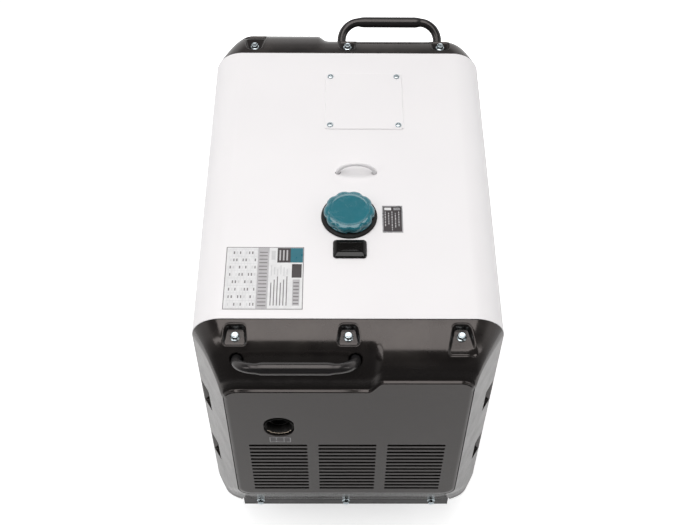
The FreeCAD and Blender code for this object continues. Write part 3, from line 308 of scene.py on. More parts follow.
k = Mat("cast_alloy", (0.53, 0.53, 0.54), 0.46, 0.9)
k.vary(50, 0.14, 6).vary_rough(120, 0.38, 0.60)
k.dust((0.24, 0.21, 0.18), 0.25, 18).edges((0.80, 0.80, 0.80), 0.4)
k.bump(k.noise(420, 6, 0.65), 0.35, 0.0006).bump(k.voronoi(260), 0.10, 0.0005)
M["cast_alloy"] = k.done()

k = Mat("cast_iron", (0.13, 0.13, 0.135), 0.55, 0.75)
k.vary(70, 0.25, 6).vary_rough(140, 0.42, 0.68)
k.edges((0.42, 0.41, 0.40), 0.5)
k.bump(k.noise(500, 6, 0.7), 0.4, 0.0006)
M["cast_iron"] = k.done()

k = Mat("hot_steel", (0.33, 0.29, 0.26), 0.42, 0.9)
k.vary(16, 0.30, 6).vary_rough(40, 0.32, 0.6)
k.blend(k.ramp(k.noise(11, 5), 0.50, 0.66, 0, 0.6), (0.28, 0.17, 0.11))
k.blend(k.ramp(k.noise(24, 6), 0.58, 0.70, 0, 0.5), (0.14, 0.15, 0.20))
k.bump(k.noise(300, 5), 0.2, 0.0005)
M["hot_steel"] = k.done()

# near-black soot; on the lagging ring it also serves as painted shade inside the exhaust opening
k = Mat("sooted_steel", (0.012, 0.011, 0.010), 0.72, 0.2)
k.vary(60, 0.35, 6).vary_rough(90, 0.55, 0.85).edges((0.05, 0.045, 0.04), 0.5)
k.bump(k.noise(500, 5), 0.3, 0.0005)
M["sooted_steel"] = k.done()

k = Mat("tank_black", (0.018, 0.018, 0.019), 0.34, 0, 1.5)
k.vary(20, 0.2, 4).vary_rough(30, 0.26, 0.44).dust((0.25, 0.23, 0.2), 0.12)
k.bump(k.noise(400, 3), 0.12, 0.0005)
M["tank_black"] = k.done()

k = Mat("panel_grey", (0.105, 0.105, 0.112), 0.46, 0, 1.5)
k.vary(30, 0.06, 4).vary_rough(60, 0.40, 0.54)
k.bump(k.voronoi(1100), 0.28, 0.0004)
M["panel_grey"] = k.done()

k = Mat("socket_blue", (0.022, 0.085, 0.33), 0.32, 0, 1.5)
k.vary(60, 0.08, 4).vary_rough(100, 0.26, 0.42).bump(k.noise(1500, 3), 0.08, 0.0003)
M["socket_blue"] = k.done()

k = Mat("stop_red", (0.52, 0.014, 0.012), 0.26, 0, 1.5)
k.vary(60, 0.08, 4).vary_rough(100, 0.2, 0.34).bump(k.noise(1500, 3), 0.05, 0.0003)
k.coat(0.3, 0.1)
M["stop_red"] = k.done()

for nm, c, r in (("film_white", (0.64, 0.64, 0.645), 0.34), ("film_teal", (0.012, 0.125, 0.165), 0.3),
                 ("film_dark", (0.040, 0.034, 0.036), 0.32), ("film_mid", (0.17, 0.16, 0.165), 0.32),
                 ("film_pale", (0.40, 0.39, 0.40), 0.34), ("film_line", (0.52, 0.52, 0.53), 0.34),
                 ("film_silver", (0.36, 0.36, 0.37), 0.30)):
    k = Mat(nm, c, r, 0.6 if nm == "film_silver" else 0.0, 1.48)
    k.vary(90, 0.05, 4).vary_rough(60, r - 0.06, r + 0.08).bump(k.noise(500, 3), 0.05, 0.0002)
    M[nm] = k.done()

# exhaust lagging: pale fibre, singed dark in places
k = Mat("lagging", (0.62, 0.52, 0.40), 0.9)
k.vary(120, 0.25, 6)
k.blend(k.ramp(k.noise(70, 5), 0.55, 0.68, 0, 0.8), (0.10, 0.08, 0.06))
k.bump(k.noise(700, 6, 0.7), 0.7, 0.001)
k.b.inputs["Sheen Weight"].default_value = 0.4
M["lagging"] = k.done()

k = Mat("foam_dark", (0.010, 0.0095, 0.009), 0.95)
k.vary(200, 0.4, 5).bump(k.voronoi(420), 0.8, 0.0015)
M["foam_dark"] = k.done()

k = Mat("brass", (0.70, 0.52, 0.24), 0.28, 1.0)
k.vary(150, 0.1, 5).vary_rough(200, 0.2, 0.4).bump(k.noise(900, 3), 0.1, 0.0002)
M["brass"] = k.done()

k = Mat("glass_clear", (0.02, 0.024, 0.026), 0.08, 0, 1.5)
k.vary(80, 0.1).vary_rough(60, 0.05, 0.12).bump(k.noise(30, 2), 0.02, 0.001)
M["glass_clear"] = k.done()

k = Mat("dial_white", (0.80, 0.79, 0.76), 0.5)
k.vary(200, 0.03).bump(k.noise(1200, 3), 0.05, 0.0002)
M["dial_white"] = k.done()

k = Mat("painted_engine", (0.055, 0.058, 0.060), 0.42, 0.1, 1.5)
k.vary(24, 0.14, 5).vary_rough(50, 0.34, 0.56).dust((0.28, 0.25, 0.21), 0.2)
k.edges((0.30, 0.30, 0.30), 0.4).bump(k.noise(300, 6, 0.6), 0.25, 0.0006)
M["painted_engine"] = k.done()

k = Mat("copper_winding", (0.60, 0.24, 0.10), 0.36, 0.8)
k.vary(120, 0.15, 5).vary_rough(200, 0.28, 0.5)
k.bump(k.noise(260, 3, stretch=(1, 6, 1)), 0.5, 0.0008)
M["copper_winding"] = k.done()


# ------------------------------------------------------------- mesh builders
def make(name, verts, faces, mats, fmat=None, body="chassis", slot=None, smooth=True, attrs=None, merge=None):
    """Mesh object from millimetre points, riding on a body."""
    me = bpy.data.meshes.new(name)
    me.from_pydata([(x * MM, y * MM, z * MM) for x, y, z in verts], [], faces)
    for m in (mats if isinstance(mats, (list, tuple)) else [mats]):
        me.materials.append(M[m])
    if fmat is not None:
        me.polygons.foreach_set("material_index", np.asarray(fmat, np.int32))
    if attrs:
        for a, vals in attrs.items():
            at = me.attributes.new(a, "FLOAT", "POINT")
            at.data.foreach_set("value", np.asarray(vals, np.float32))
    me.polygons.foreach_set("use_smooth", [smooth] * len(me.polygons))
    me.validate()
    if merge:
        bm = bmesh.new()
        bm.from_mesh(me)
        bmesh.ops.remove_doubles(bm, verts=bm.verts, dist=merge * MM)
        bmesh.ops.dissolve_degenerate(bm, edges=bm.edges, dist=1e-7)
        bm.to_mesh(me)
        bm.free()
    me.update()
    ob = bpy.data.objects.new(name, me)
    scene.collection.objects.link(ob)
    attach(ob, body)
    return ob


def bevel(ob, width, segs=2, angle=32, clamp=True):
    md = ob.modifiers.new("edge", "BEVEL")
    md.width = width * MM
    md.segments = segs
    md.limit_method = "ANGLE"
    md.angle_limit = math.radians(angle)
    md.use_clamp_overlap = clamp
    md.harden_normals = False
    md.miter_outer = "MITER_ARC"
    return ob


def weigh(ob):
    md = ob.modifiers.new("weighted", "WEIGHTED_NORMAL")
    md.keep_sharp = True
    md.weight = 80
    return ob


def turned(name, profile, mat, at=(0, 0, 0), axis="z", segs=96, closed=True, **kw):
    """Solid of revolution: profile is [(radius, height)...] in order."""
    pts = profile
    verts, faces = [], []
    n = segs
    ring = []
    for r, h in pts:
        if r < 1e-6:
            ring.append([len(verts)])
            verts.append((0, 0, h))
        else:
            ring.append(list(range(len(verts), len(verts) + n)))
            for j in range(n):
                a = 2 * math.pi * j / n
                verts.append((r * math.cos(a), r * math.sin(a), h))
    pairs = list(zip(ring, ring[1:]))
    if closed and len(ring[0]) > 1 and len(ring[-1]) > 1:
        pairs.append((ring[-1], ring[0]))
    for a, b in pairs:
        for j in range(n):
            j2 = (j + 1) % n
            if len(a) == 1 and len(b) == 1:
                continue
            if len(a) == 1:
                faces.append((a[0], b[j], b[j2]))
            elif len(b) == 1:
                faces.append((a[j], b[0], a[j2]))
            else:
                faces.append((a[j], b[j], b[j2], a[j2]))
    verts = spin_to(verts, axis)
    verts = [(x + at[0], y + at[1], z + at[2]) for x, y, z in verts]
    ob = make(name, verts, faces, mat, **kw)
    fix_normals(ob)
    return ob


def spin_to(verts, axis):
    if axis == "z":
        return verts
    if axis == "-z":
        return [(x, -y, -z) for x, y, z in verts]
    if axis == "y":
        return [(x, z, -y) for x, y, z in verts]
    if axis == "-y":
        return [(x, -z, y) for x, y, z in verts]
    if axis == "x":
        return [(z, y, -x) for x, y, z in verts]
    if axis == "-x":
        return [(-z, y, x) for x, y, z in verts]
    raise ValueError(axis)


def fix_normals(ob):
    bm = bmesh.new()
    bm.from_mesh(ob.data)
    bmesh.ops.recalc_face_normals(bm, faces=bm.faces)
    bm.to_mesh(ob.data)
    bm.free()
    return ob


def round_profile(pts, r=0.6, n=4):
    """Rounds the corners of an open (radius, height) profile."""
    out = [pts[0]]
    for i in range(1, len(pts) - 1):
        p0, p, p1 = (np.array(q, float) for q in pts[i - 1:i + 2])
        a, b = p0 - p, p1 - p
        la, lb = np.linalg.norm(a), np.linalg.norm(b)
        if la < 1e-6 or lb < 1e-6:
            continue
        c = min(r, la * 0.45, lb * 0.45)
        s, e = p + a / la * c, p + b / lb * c
        for j in range(n + 1):
            t = j / n
            q = s * (1 - t) ** 2 + p * 2 * t * (1 - t) + e * t * t
            out.append(tuple(q))
    out.append(pts[-1])
    return out


def tube(path, radius, n=32, cap=True):
    """Verts and faces of a round tube along a path; radius may vary."""
    path = [np.array(p, float) for p in path]
    m = len(path)
    rad = radius if hasattr(radius, "__len__") else [radius] * m
    tang = []
    for i in range(m):
        t = path[min(i + 1, m - 1)] - path[max(i - 1, 0)]
        tang.append(t / np.linalg.norm(t))
    ref = np.array([0, 0, 1.0]) if abs(tang[0][2]) < 0.9 else np.array([0, 1.0, 0])
    u = np.cross(tang[0], ref)
    u /= np.linalg.norm(u)
    verts, faces = [], []
    for i in range(m):
        u = u - tang[i] * np.dot(u, tang[i])
        u /= np.linalg.norm(u)
        v = np.cross(tang[i], u)
        for j in range(n):
            a = 2 * math.pi * j / n
            verts.append(tuple(path[i] + (u * math.cos(a) + v * math.sin(a)) * rad[i]))
    for i in range(m - 1):
        for j in range(n):
            j2 = (j + 1) % n
            faces.append((i * n + j, i * n + j2, (i + 1) * n + j2, (i + 1) * n + j))
    if cap:
        faces.append(tuple(range(n - 1, -1, -1)))
        faces.append(tuple((m - 1) * n + j for j in range(n)))
    return verts, faces


def rounded_from_cad(node, width=0.6, segs=2, mats=None, angle=32, name=None):
    """Stands for a CAD node with the same form, welded, with its sharp edges
    rolled over by a small radius."""
    src = NODES[node]
    me = bpy.data.meshes.new((name or node) + "_body")
    bm = bmesh.new()
    bm.from_mesh(src.data)
    bmesh.ops.remove_doubles(bm, verts=bm.verts, dist=2e-5)
    bmesh.ops.dissolve_degenerate(bm, edges=bm.edges, dist=1e-6)
    bmesh.ops.dissolve_limit(bm, angle_limit=math.radians(0.6), verts=bm.verts, edges=bm.edges)
    for f in bm.faces:
        f.smooth = True
        f.material_index = 0
    bm.to_mesh(me)
    bm.free()
    me.materials.clear()
    me.materials.append(M[mats])
    ob = bpy.data.objects.new((name or node) + "_body", me)
    scene.collection.objects.link(ob)
    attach(ob, BODY_OF[node])
    if width:
        bevel(ob, width, segs, angle)
    weigh(ob)
    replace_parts(ob, node)
    return ob


def sstep(a, b, x):
    t = np.clip((np.asarray(x, float) - a) / (b - a), 0, 1)
    return t * t * (3 - 2 * t)


def pchip(xs, ys):
    """Monotone cubic through the keys."""
    xs, ys = np.array(xs, float), np.array(ys, float)
    h = np.diff(xs)
    dl = np.diff(ys) / h
    m = np.zeros(len(xs))
    m[0], m[-1] = dl[0], dl[-1]
    for i in range(1, len(xs) - 1):
        if dl[i - 1] * dl[i] > 0:
            w1, w2 = 2 * h[i] + h[i - 1], h[i] + 2 * h[i - 1]
            m[i] = (w1 + w2) / (w1 / dl[i - 1] + w2 / dl[i])

    def f(x):
        x = np.asarray(x, float)
        i = np.clip(np.searchsorted(xs, x) - 1, 0, len(xs) - 2)
        t = (x - xs[i]) / h[i]
        return ((2 * t ** 3 - 3 * t ** 2 + 1) * ys[i] + (t ** 3 - 2 * t ** 2 + t) * h[i] * m[i]
                + (-2 * t ** 3 + 3 * t ** 2) * ys[i + 1] + (t ** 3 - t ** 2) * h[i] * m[i + 1])
    return f


# ---------------------------------------------------------------- end covers
# The moulding is a skin laid out as rings.  A ring is the outline at distance s
# from the rim; its points run clockwise from the middle of the underside.
S_KEYS = [0, 12, 26, 34, 50, 66, 76, 81, 84.5, 87.6, 89.2, 95]
LOW = pchip(S_KEYS, [0.0, 0.8, 2.7, 4.5, 13.4, 32.6, 49.5, 61.5, 74.0, 83.0, 84.6, 85.4])
HIGH = pchip(S_KEYS, [0.0, 0.4, 1.5, 2.6, 6.6, 15.0, 24.0, 31.6, 42.0, 51.5, 54.3, 55.6])
BOT = pchip([0, 22, 27, 33, 38, 60, 95], [103, 103.6, 106.5, 131.0, 147.5, 204.0, 293.0])


def width_at(s):
    return HALF_W + (214.0 - HALF_W) * s / DEPTH


def rt_at(s):
    return 55.0 + (26.0 - 55.0) * s / DEPTH


def rb_at(s):
    return 84.0 + (26.0 - 84.0) * s / DEPTH


def step_mix(x, s):
    """0 on the handle half, 1 on the raised half, a soft S between."""
    a, b = 34.0 + 9.0 * (1 - s / DEPTH), 61.0 + 5.0 * (1 - s / DEPTH)
    t = np.clip((np.asarray(x, float) - a) / (b - a), 0, 1)
    soft = t * t * (3 - 2 * t)
    return soft * 0.7 + 0.3 * (t * t * t * (t * (6 * t - 15) + 10))


def drop_at(x, s):
    m = step_mix(x, s)
    return LOW(s) * (1 - m) + HIGH(s) * m


# stations along the top from the left corner to the right one, at the rim
def stations():
    xs = []

    def run(a, b, st):
        n = max(1, int(round((b - a) / st)))
        xs.extend(list(a + (b - a) * np.arange(n) / n))
    run(-215, -166, 1.15)
    run(-166, -26, 4.0)
    run(-26, 30, 1.15)
    run(30, 78, 1.6)
    run(78, 162, 4.0)
    run(162, 215, 1.15)
    xs.append(215.0)
    return np.array(xs)


TOP_X = stations()
ARC_T = np.array([0, 1.4, 2.8, 4.2, 5.6, 7, 8.5, 10, 12, 14, 16.5, 19, 22, 26, 30, 35, 40, 45, 50, 55, 60, 65, 70, 75, 80, 85, 90]) / 90.0
ARC_B = np.linspace(0, 1, 17)
SIDE_Z = [TOP - 214, TOP - 416]


def flank_z():
    """Heights on a flank at the rim, from the lower corner up."""
    z0, z1 = 103.0 + 84.0, TOP - 55.0
    zs = [z0]
    marks = []
    for z in sorted(SIDE_Z):
        marks.append((z - 62, z - 50, 1.1))
        marks.append((z - 50, z + 8, 3.2))
        marks.append((z + 8, z + 18, 1.1))
    cur = z0
    for a, b, st in marks:
        if a > cur:
            n = max(1, int((a - cur) / 9))
            zs.extend(list(cur + (a - cur) * (np.arange(n) + 1) / n))
        n = max(1, int((b - a) / st))
        zs.extend(list(a + (b - a) * (np.arange(n) + 1) / n))
        cur = b
    n = max(1, int((z1 - cur) / 9))
    zs.extend(list(cur + (z1 - cur) * (np.arange(n) + 1) / n))
    return np.array(zs)


FLANK_Z = flank_z()
BOT_X = np.array([0, 30, 60, 90, 120, 150, 180, 186.0])


def ring(s, off=0.0, inset_top=0.0, inset_side=0.0):
    """Points (x, z) of the outline at distance s from the rim."""
    w = width_at(s) - off - inset_side
    bot = float(BOT(s)) + off + inset_side
    it = inset_top + off
    rt = max(rt_at(s) - off - 0.5 * (inset_side + inset_top), 5)
    rb = max(rb_at(s) - off - inset_side, 5)
    pts = []
    # underside, middle to right
    k0 = (HALF_W - 84.0)
    bx = BOT_X / k0 * (w - rb)
    for x in bx:
        pts.append((x, bot))
    for t in ARC_B[1:]:
        a = math.pi / 2 * t
        pts.append((w - rb + rb * math.sin(a), bot + rb - rb * math.cos(a)))
    # right flank, up
    zt = TOP - float(drop_at(w, s)) - it
    z0, z1 = bot + rb, zt - rt
    keep = 8
    F = FLANK_Z
    lo0, hi0 = F[0], F[-1]
    zz = np.interp(F, [lo0, SIDE_Z[1] - 66, SIDE_Z[0] + 22, hi0], [z0, max(SIDE_Z[1] - 66, z0 + 6), min(SIDE_Z[0] + 22, z1 - 6), z1])
    if SIDE_Z[1] - 66 < z0 + 6:
        zz = z0 + (z1 - z0) * (np.array(F) - lo0) / (hi0 - lo0)
    for z in zz[1:]:
        pts.append((w, z))
    # right top corner, then along the top to the left
    for t in ARC_T[::-1][1:]:
        a = math.pi / 2 * t
        pts.append((w - rt + rt * math.sin(a), None, math.cos(a), rt))
    tx = TOP_X[::-1]
    span = w - rt
    inner = 150.0

    def fan(x):
        ax = abs(x)
        if ax <= inner:
            return x
        return math.copysign(inner + (ax - inner) * (span - inner) / (215.0 - inner), x)
    for x in tx[1:]:
        pts.append((fan(x), None, 1.0, rt))
    for t in ARC_T[1:]:
        a = math.pi / 2 * t
        pts.append((-(w - rt + rt * math.sin(a)), None, math.cos(a), rt))
    zt2 = TOP - float(drop_at(-w, s)) - it
    z1b = zt2 - rt
    zz2 = np.interp(F, [lo0, SIDE_Z[1] - 66, SIDE_Z[0] + 22, hi0], [z0, max(SIDE_Z[1] - 66, z0 + 6), min(SIDE_Z[0] + 22, z1b - 6), z1b])
    for z in zz2[::-1][1:]:
        pts.append((-w, z))
    for t in ARC_B[::-1][1:]:
        a = math.pi / 2 * t
        pts.append((-(w - rb + rb * math.sin(a)), bot + rb - rb * math.cos(a)))
    for x in bx[::-1][1:-1]:
        pts.append((-x, bot))
    out = []
    for p in pts:
        if len(p) == 2:
            out.append(p)
        else:
            x, _, c, r = p
            z = TOP - float(drop_at(x, s)) - it - r * (1 - c)
            out.append((x, z))
    return out


COUNT = len(ring(10.0))
# pocket plan: centre, half width at the back and front, s at front
POCKETS = [(-191.0, 17.0, 21.0, 47.0), (0.0, 15.0, 20.0, 47.0), (191.0, 14.0, 25.0, 65.0)]
LEGS = (-188.0, 12.0)
TILT = math.radians(39)
AX = np.array([0.0, math.cos(TILT), -math.sin(TILT)])      # a leg, going in
LEG_AT = np.array([0.0, -HALF_L - 97.0, TOP - 3.0])


def shape_features(P, S, off):
    """Pushes bolt pockets, flank pockets, the rail notch and the handle holes
    into the skin.  P is (n, 3) at distances S from the rim."""
    x, y, z = P[:, 0].copy(), P[:, 1].copy(), P[:, 2].copy()
    dark = np.zeros(len(P))
    top_zone = z > TOP - 70
    for cx, h0, h1, sf in POCKETS:
        f = (S - 13.0) / (sf - 13.0)
        h = h0 + (h1 - h0) * np.clip(f, 0, 1.1) + off
        dx = h - np.abs(x - cx)
        ds = np.minimum(S - (12.0 - off), (sf + off) - S)
        rr = 7.5
        qx, qs = np.maximum(rr - dx, 0), np.maximum(rr - ds, 0)
        dist = rr - np.sqrt(qx ** 2 + qs ** 2)
        dist = np.where((dx > rr) & (ds > rr), np.minimum(dx, ds), dist)
        m = sstep(-0.8, 3.4, dist) * top_zone
        lip = 0.55 * np.exp(-((dist + 1.7) / 1.3) ** 2) * top_zone * (off == 0) * sstep(2.0, 7.0, S)
        floor = np.minimum(TOP - 12.0 - off, z - 3.6)
        ledge = sstep(30.0, 33.0, S)
        floor = floor * (1 - ledge) + np.minimum(floor, z - 3.2) * ledge
        z = z * (1 - m) + np.minimum(z, floor) * m + lip
        # painted shade on the rear of each bolt pocket's floor, where the back wall hides the reflection
        dark = np.maximum(dark, sstep(0.5, 3.2, dist) * top_zone * (1 - sstep(29.0, 32.0, S)))
    for sg in (-1, 1):
        for zb in SIDE_Z:
            on = (np.sign(x) == sg) & (np.abs(x) > 225)
            d1 = np.minimum(z - (zb - 55 - off), (zb + 13 + off) - z)
            d2 = np.minimum(S - (4 - off), (28 + off) - S)
            dist = np.minimum(d1, d2)
            m = sstep(-1.0, 2.2, dist) * on
            fl = 248.0 - off
            x = np.where(m > 0, sg * (np.abs(x) * (1 - m) + np.minimum(np.abs(x), fl) * m), x)
            # painted shade in the flank pockets
            dark = np.maximum(dark, sstep(0.5, 3, dist) * on)
    # wells where the handle legs go in
    for lx in LEGS:
        rel = np.stack([x - lx, y - LEG_AT[1], z - LEG_AT[2]], 1)
        al = rel @ AX
        perp = rel - al[:, None] * AX[None, :]
        rho = np.sqrt((perp ** 2).sum(1))
        on = (al > 0) & (z > TOP - 75)
        r0 = 10.6 + off
        snap = on & (np.abs(rho - r0) < 0.7)
        target = np.where(rho < r0, r0 - 0.35, r0 + 0.35)
        k = np.where(snap, target / np.maximum(rho, 1e-6), 1.0)
        add = perp * (k - 1.0)[:, None]
        x, y, z = x + add[:, 0], y + add[:, 1], z + add[:, 2]
        rho = np.where(snap, target, rho)
        deep = np.where(on, 16.0 * (1 - sstep(r0 - 0.35, r0 + 0.35, rho)) + 1.1 * (1 - sstep(r0 + 0.3, r0 + 3.2, rho)), 0)
        x, y, z = x + deep * AX[0], y + deep * AX[1], z + deep * AX[2]
        # painted shade down the handle-leg wells
        dark = np.maximum(dark, np.where(on, 1 - sstep(r0 - 0.6, r0 + 0.2, rho), 0))
    # notch over the end rail
    m = (np.abs(x) < 221 + off) & (S < 31.6 + off) & (z < 136.5 + off)
    z = np.where(m, 136.5 + off, z)
    return np.stack([x, y, z], 1), dark


def slot_loops(rear):
    """Openings in the face: list of (x, z) loops, anticlockwise."""
    def stadium(cx, cz, hw, hh, r, n):
        pts = []
        for qx, qz, a0 in ((1, -1, -90), (1, 1, 0), (-1, 1, 90), (-1, -1, 180)):
            for j in range(n + 1):
                a = math.radians(a0 + 90.0 * j / n)
                pts.append((cx + qx * (hw - r) + r * math.cos(a), cz + qz * (hh - r) + r * math.sin(a)))
        return pts
    loops = []
    if rear:
        loops.append((0.0, 510.0, 165.0, 130.0, 9.0, 6, 1.8))
    else:
        for g in (-1, 0, 1):
            for k_ in range(14):
                loops.append((g * 127.8, 503.5 - k_ * 14.03, 53.5, 3.3, 1.5, 3, 0.7))
        loops.append((-123.4, 575.0, 27.0, 34.0, 26.9, 12, 1.6))
    return [(stadium, l) for l in loops]


def make_cover(name, rear):
    wall = 3.5
    outs = {}
    # ring positions
    R = 7.0
    s_list = [0.0, 0.3, 0.8, 1.5]
    s_list += list(np.arange(2.5, 72.0, 1.15)) + list(np.arange(72.5, 80.0, 1.5)) + list(np.arange(80.2, 92.3, 0.6))

    def layer(off, dense):
        V, SS = [], []
        ss = s_list if dense else [0.0] + list(np.arange(4.0, 84.5, 5.0))
        for s in ss:
            q = ring(s, off)
            # rolled rim
            rim = 1.4 * (1 - math.sqrt(max(0.0, 1 - (1 - min(s / 1.5, 1)) ** 2))) if off == 0 else 0.0
            for x, z in q:
                V.append((x, -HALF_L - s, z))
                SS.append(s)
            if rim > 0:
                n0 = len(V) - len(q)
                cx, cz = 0.0, 440.0
                for j in range(n0, len(V)):
                    x, y, z = V[j]
                    nx = 1.0 if x > w_lim(s) else (-1.0 if x < -w_lim(s) else 0.0)
                    nz = 1.0 if z > TOP - 30 else (-1.0 if z < 130 else 0.0)
                    if nx == 0 and nz == 0:
                        nx = math.copysign(0.7, x)
                        nz = 0.7 if z > cz else -0.7
                    l = math.hypot(nx, nz)
                    V[j] = (x - rim * nx / l, y, z - rim * nz / l)
        nb = 8 if dense else 3
        top_r, side_r = 1.7, R
        dep = DEPTH - off
        for b in range(1, nb + 1):
            a = math.pi / 2 * b / nb
            # the top edge turns tightly, the sides and underside broadly
            rings = []
            for rr in (top_r, side_r):
                sb = dep - rr * (1 - math.sin(a))
                ins = rr * (1 - math.cos(a))
                rings.append((sb, ring(min(sb, dep), off, ins, ins)))
            q0, q1 = rings[0][1], rings[1][1]
            for (x0, z0), (x1, z1) in zip(q0, q1):
                tz = TOP - float(drop_at(x0, 95.0))
                mside = 1.0 - float(sstep(tz - 26, tz - 12, z0))
                mside = max(mside, 0.0)
                V.append((x0 * (1 - mside) + x1 * mside,
                          -HALF_L - (rings[0][0] * (1 - mside) + rings[1][0] * mside),
                          z0 * (1 - mside) + z1 * mside))
                SS.append(dep)
        V = np.array(V)
        SS = np.array(SS)
        n_rings = len(V) // COUNT
        # skin features
        feat, dark = shape_features(V, SS, off)
        return feat, dark, n_rings

    def w_lim(s):
        return width_at(s) - 16

    Vo, shade_o, no = layer(0.0, True)
    Vi, shade_i, ni = layer(wall, False)
    verts = [tuple(v) for v in Vo]
    dark = list(shade_o)
    base_i = len(verts)
    verts += [tuple(v) for v in Vi]
    dark += list(shade_i)
    faces = []

    def skin(base, n, flip):
        for i in range(n - 1):
            for j in range(COUNT):
                j2 = (j + 1) % COUNT
                f = (base + i * COUNT + j, base + i * COUNT + j2, base + (i + 1) * COUNT + j2, base + (i + 1) * COUNT + j)
                faces.append(f[::-1] if flip else f)
    skin(0, no, False)
    skin(base_i, ni, True)
    for j in range(COUNT):            # rim
        j2 = (j + 1) % COUNT
        faces.append((j, base_i + j, base_i + j2, j2))
    # flat faces with their openings
    loops = slot_loops(rear)
    first_o = (no - 1) * COUNT
    first_i = base_i + (ni - 1) * COUNT
    yo, yi = verts[first_o][1], verts[first_i][1]
    yo = -HALF_L - DEPTH
    yi = -HALF_L - DEPTH + wall

    def plane(first, grow, y, flip):
        pts = [(verts[first + j][0], verts[first + j][2]) for j in range(COUNT)]
        edges = [(j, (j + 1) % COUNT) for j in range(COUNT)]
        ids = [first + j for j in range(COUNT)]
        lp = []
        for fn, (cx, cz, hw, hh, r, n, lip) in loops:
            g = lip if grow else 0.0
            q = fn(cx, cz, hw + g, hh + g, r + g, n)
            a = len(pts)
            pts += q
            row = []
            for x, z in q:
                row.append(len(verts))
                ids.append(len(verts))
                verts.append((x, y, z))
                dark.append(0.0)
            edges += [(a + t, a + (t + 1) % len(q)) for t in range(len(q))]
            lp.append(row)
        # a light lattice keeps the triangles well shaped
        for gx in np.arange(-200, 201, 25.0):
            for gz in np.arange(305, 720, 20.0):
                inside = False
                for fn, (cx, cz, hw, hh, r, n, lip) in loops:
                    if abs(gx - cx) < hw + 3 and abs(gz - cz) < hh + 3:
                        inside = True
                if inside or gz > TOP - float(drop_at(gx, 95)) - 10 or abs(gx) > 203:
                    continue
                pts.append((gx, gz))
                ids.append(len(verts))
                verts.append((gx, y, gz))
                dark.append(0.0)
        res = geometry.delaunay_2d_cdt([Vector(p) for p in pts], edges, [], 0, 1e-5)
        vo, _, fs, orig = res[0], res[1], res[2], res[3]
        m = []
        for i_, o in enumerate(orig):
            if o:
                m.append(ids[o[0]])
            else:
                m.append(len(verts))
                verts.append((vo[i_].x, y, vo[i_].y))
                dark.append(0.0)
        outline = [Vector(p) for p in pts[:COUNT]]
        poly = np.array([(p.x, p.y) for p in outline])
        for f in fs:
            c = sum((vo[i_] for i_ in f), Vector((0, 0))) / len(f)
            if not inside_poly(c.x, c.y, poly):
                continue
            bad = False
            for fn, (cx, cz, hw, hh, r, n, lip) in loops:
                g = lip if grow else 0.0
                if abs(c.x - cx) < hw + g and abs(c.y - cz) < hh + g:
                    dx = max(abs(c.x - cx) - (hw + g - r - g), 0)
                    dz = max(abs(c.y - cz) - (hh + g - r - g), 0)
                    if dx * dx + dz * dz < (r + g) ** 2:
                        bad = True
                        break
            if bad:
                continue
            t = [m[i_] for i_ in f]
            a, b, c3 = (np.array(verts[t[q_]]) for q_ in range(3))
            ny = np.cross(b - a, c3 - a)[1]
            if (ny < 0) == flip:
                t = t[::-1]
            faces.append(tuple(t))
        return lp

    lo_ = plane(first_o, True, yo, False)
    li_ = plane(first_i, False, yi, True)
    for (fn, (cx, cz, hw, hh, r, n, lip)), ro, ri in zip(loops, lo_, li_):
        prev = ro
        nl = 3
        for b in range(1, nl + 1):
            a = math.pi / 2 * b / nl
            q = fn(cx, cz, hw + lip * (1 - math.sin(a)), hh + lip * (1 - math.sin(a)), r + lip * (1 - math.sin(a)), n)
            y = yo + lip * (1 - math.cos(a))
            row = []
            for x, z in q:
                row.append(len(verts))
                verts.append((x, y, z))
                # painted shade on the walls of the face openings: strong in the vent slots, half in the exhaust opening
                dark.append(0.95 * b / nl if hh < 10 else 0.5 * b / nl)
            for j in range(len(q)):
                j2 = (j + 1) % len(q)
                faces.append((prev[j], prev[j2], row[j2], row[j]))
            prev = row
        for j in range(len(prev)):
            j2 = (j + 1) % len(prev)
            faces.append((prev[j], prev[j2], ri[j2], ri[j]))
    V = np.array(verts)
    if rear:
        V[:, 0] *= -1
        V[:, 1] *= -1
    # the pocket attribute carries the painted shade mask into cover_grey
    ob = make(name, V.tolist(), faces, "cover_grey", slot="cover_grey", attrs={"pocket": np.clip(dark, 0, 1)})
    bm = bmesh.new()
    bm.from_mesh(ob.data)
    bmesh.ops.recalc_face_normals(bm, faces=bm.faces)
    bm.to_mesh(ob.data)
    bm.free()
    weigh(ob)
    return ob


def inside_poly(x, y, P):
    c = False
    x0, y0 = P[:, 0], P[:, 1]
    x1, y1 = np.roll(x0, -1), np.roll(y0, -1)
    hit = ((y0 > y) != (y1 > y))
    with np.errstate(divide="ignore", invalid="ignore"):
        xi = (x1 - x0) * (y - y0) / (y1 - y0) + x0
    return int((hit & (x < xi)).sum()) % 2 == 1


fc = make_cover("front_cover_moulding", False)
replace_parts(fc, "front_cover")
rc = make_cover("rear_cover_moulding", True)
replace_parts(rc, "rear_cover")

# ------------------------------------------------------------------- handles
def arc_pts(cx, cv, r, a0, a1, n):
    return [(cx + r * math.cos(math.radians(a0 + (a1 - a0) * j / n)),
             cv + r * math.sin(math.radians(a0 + (a1 - a0) * j / n))) for j in range(n + 1)]


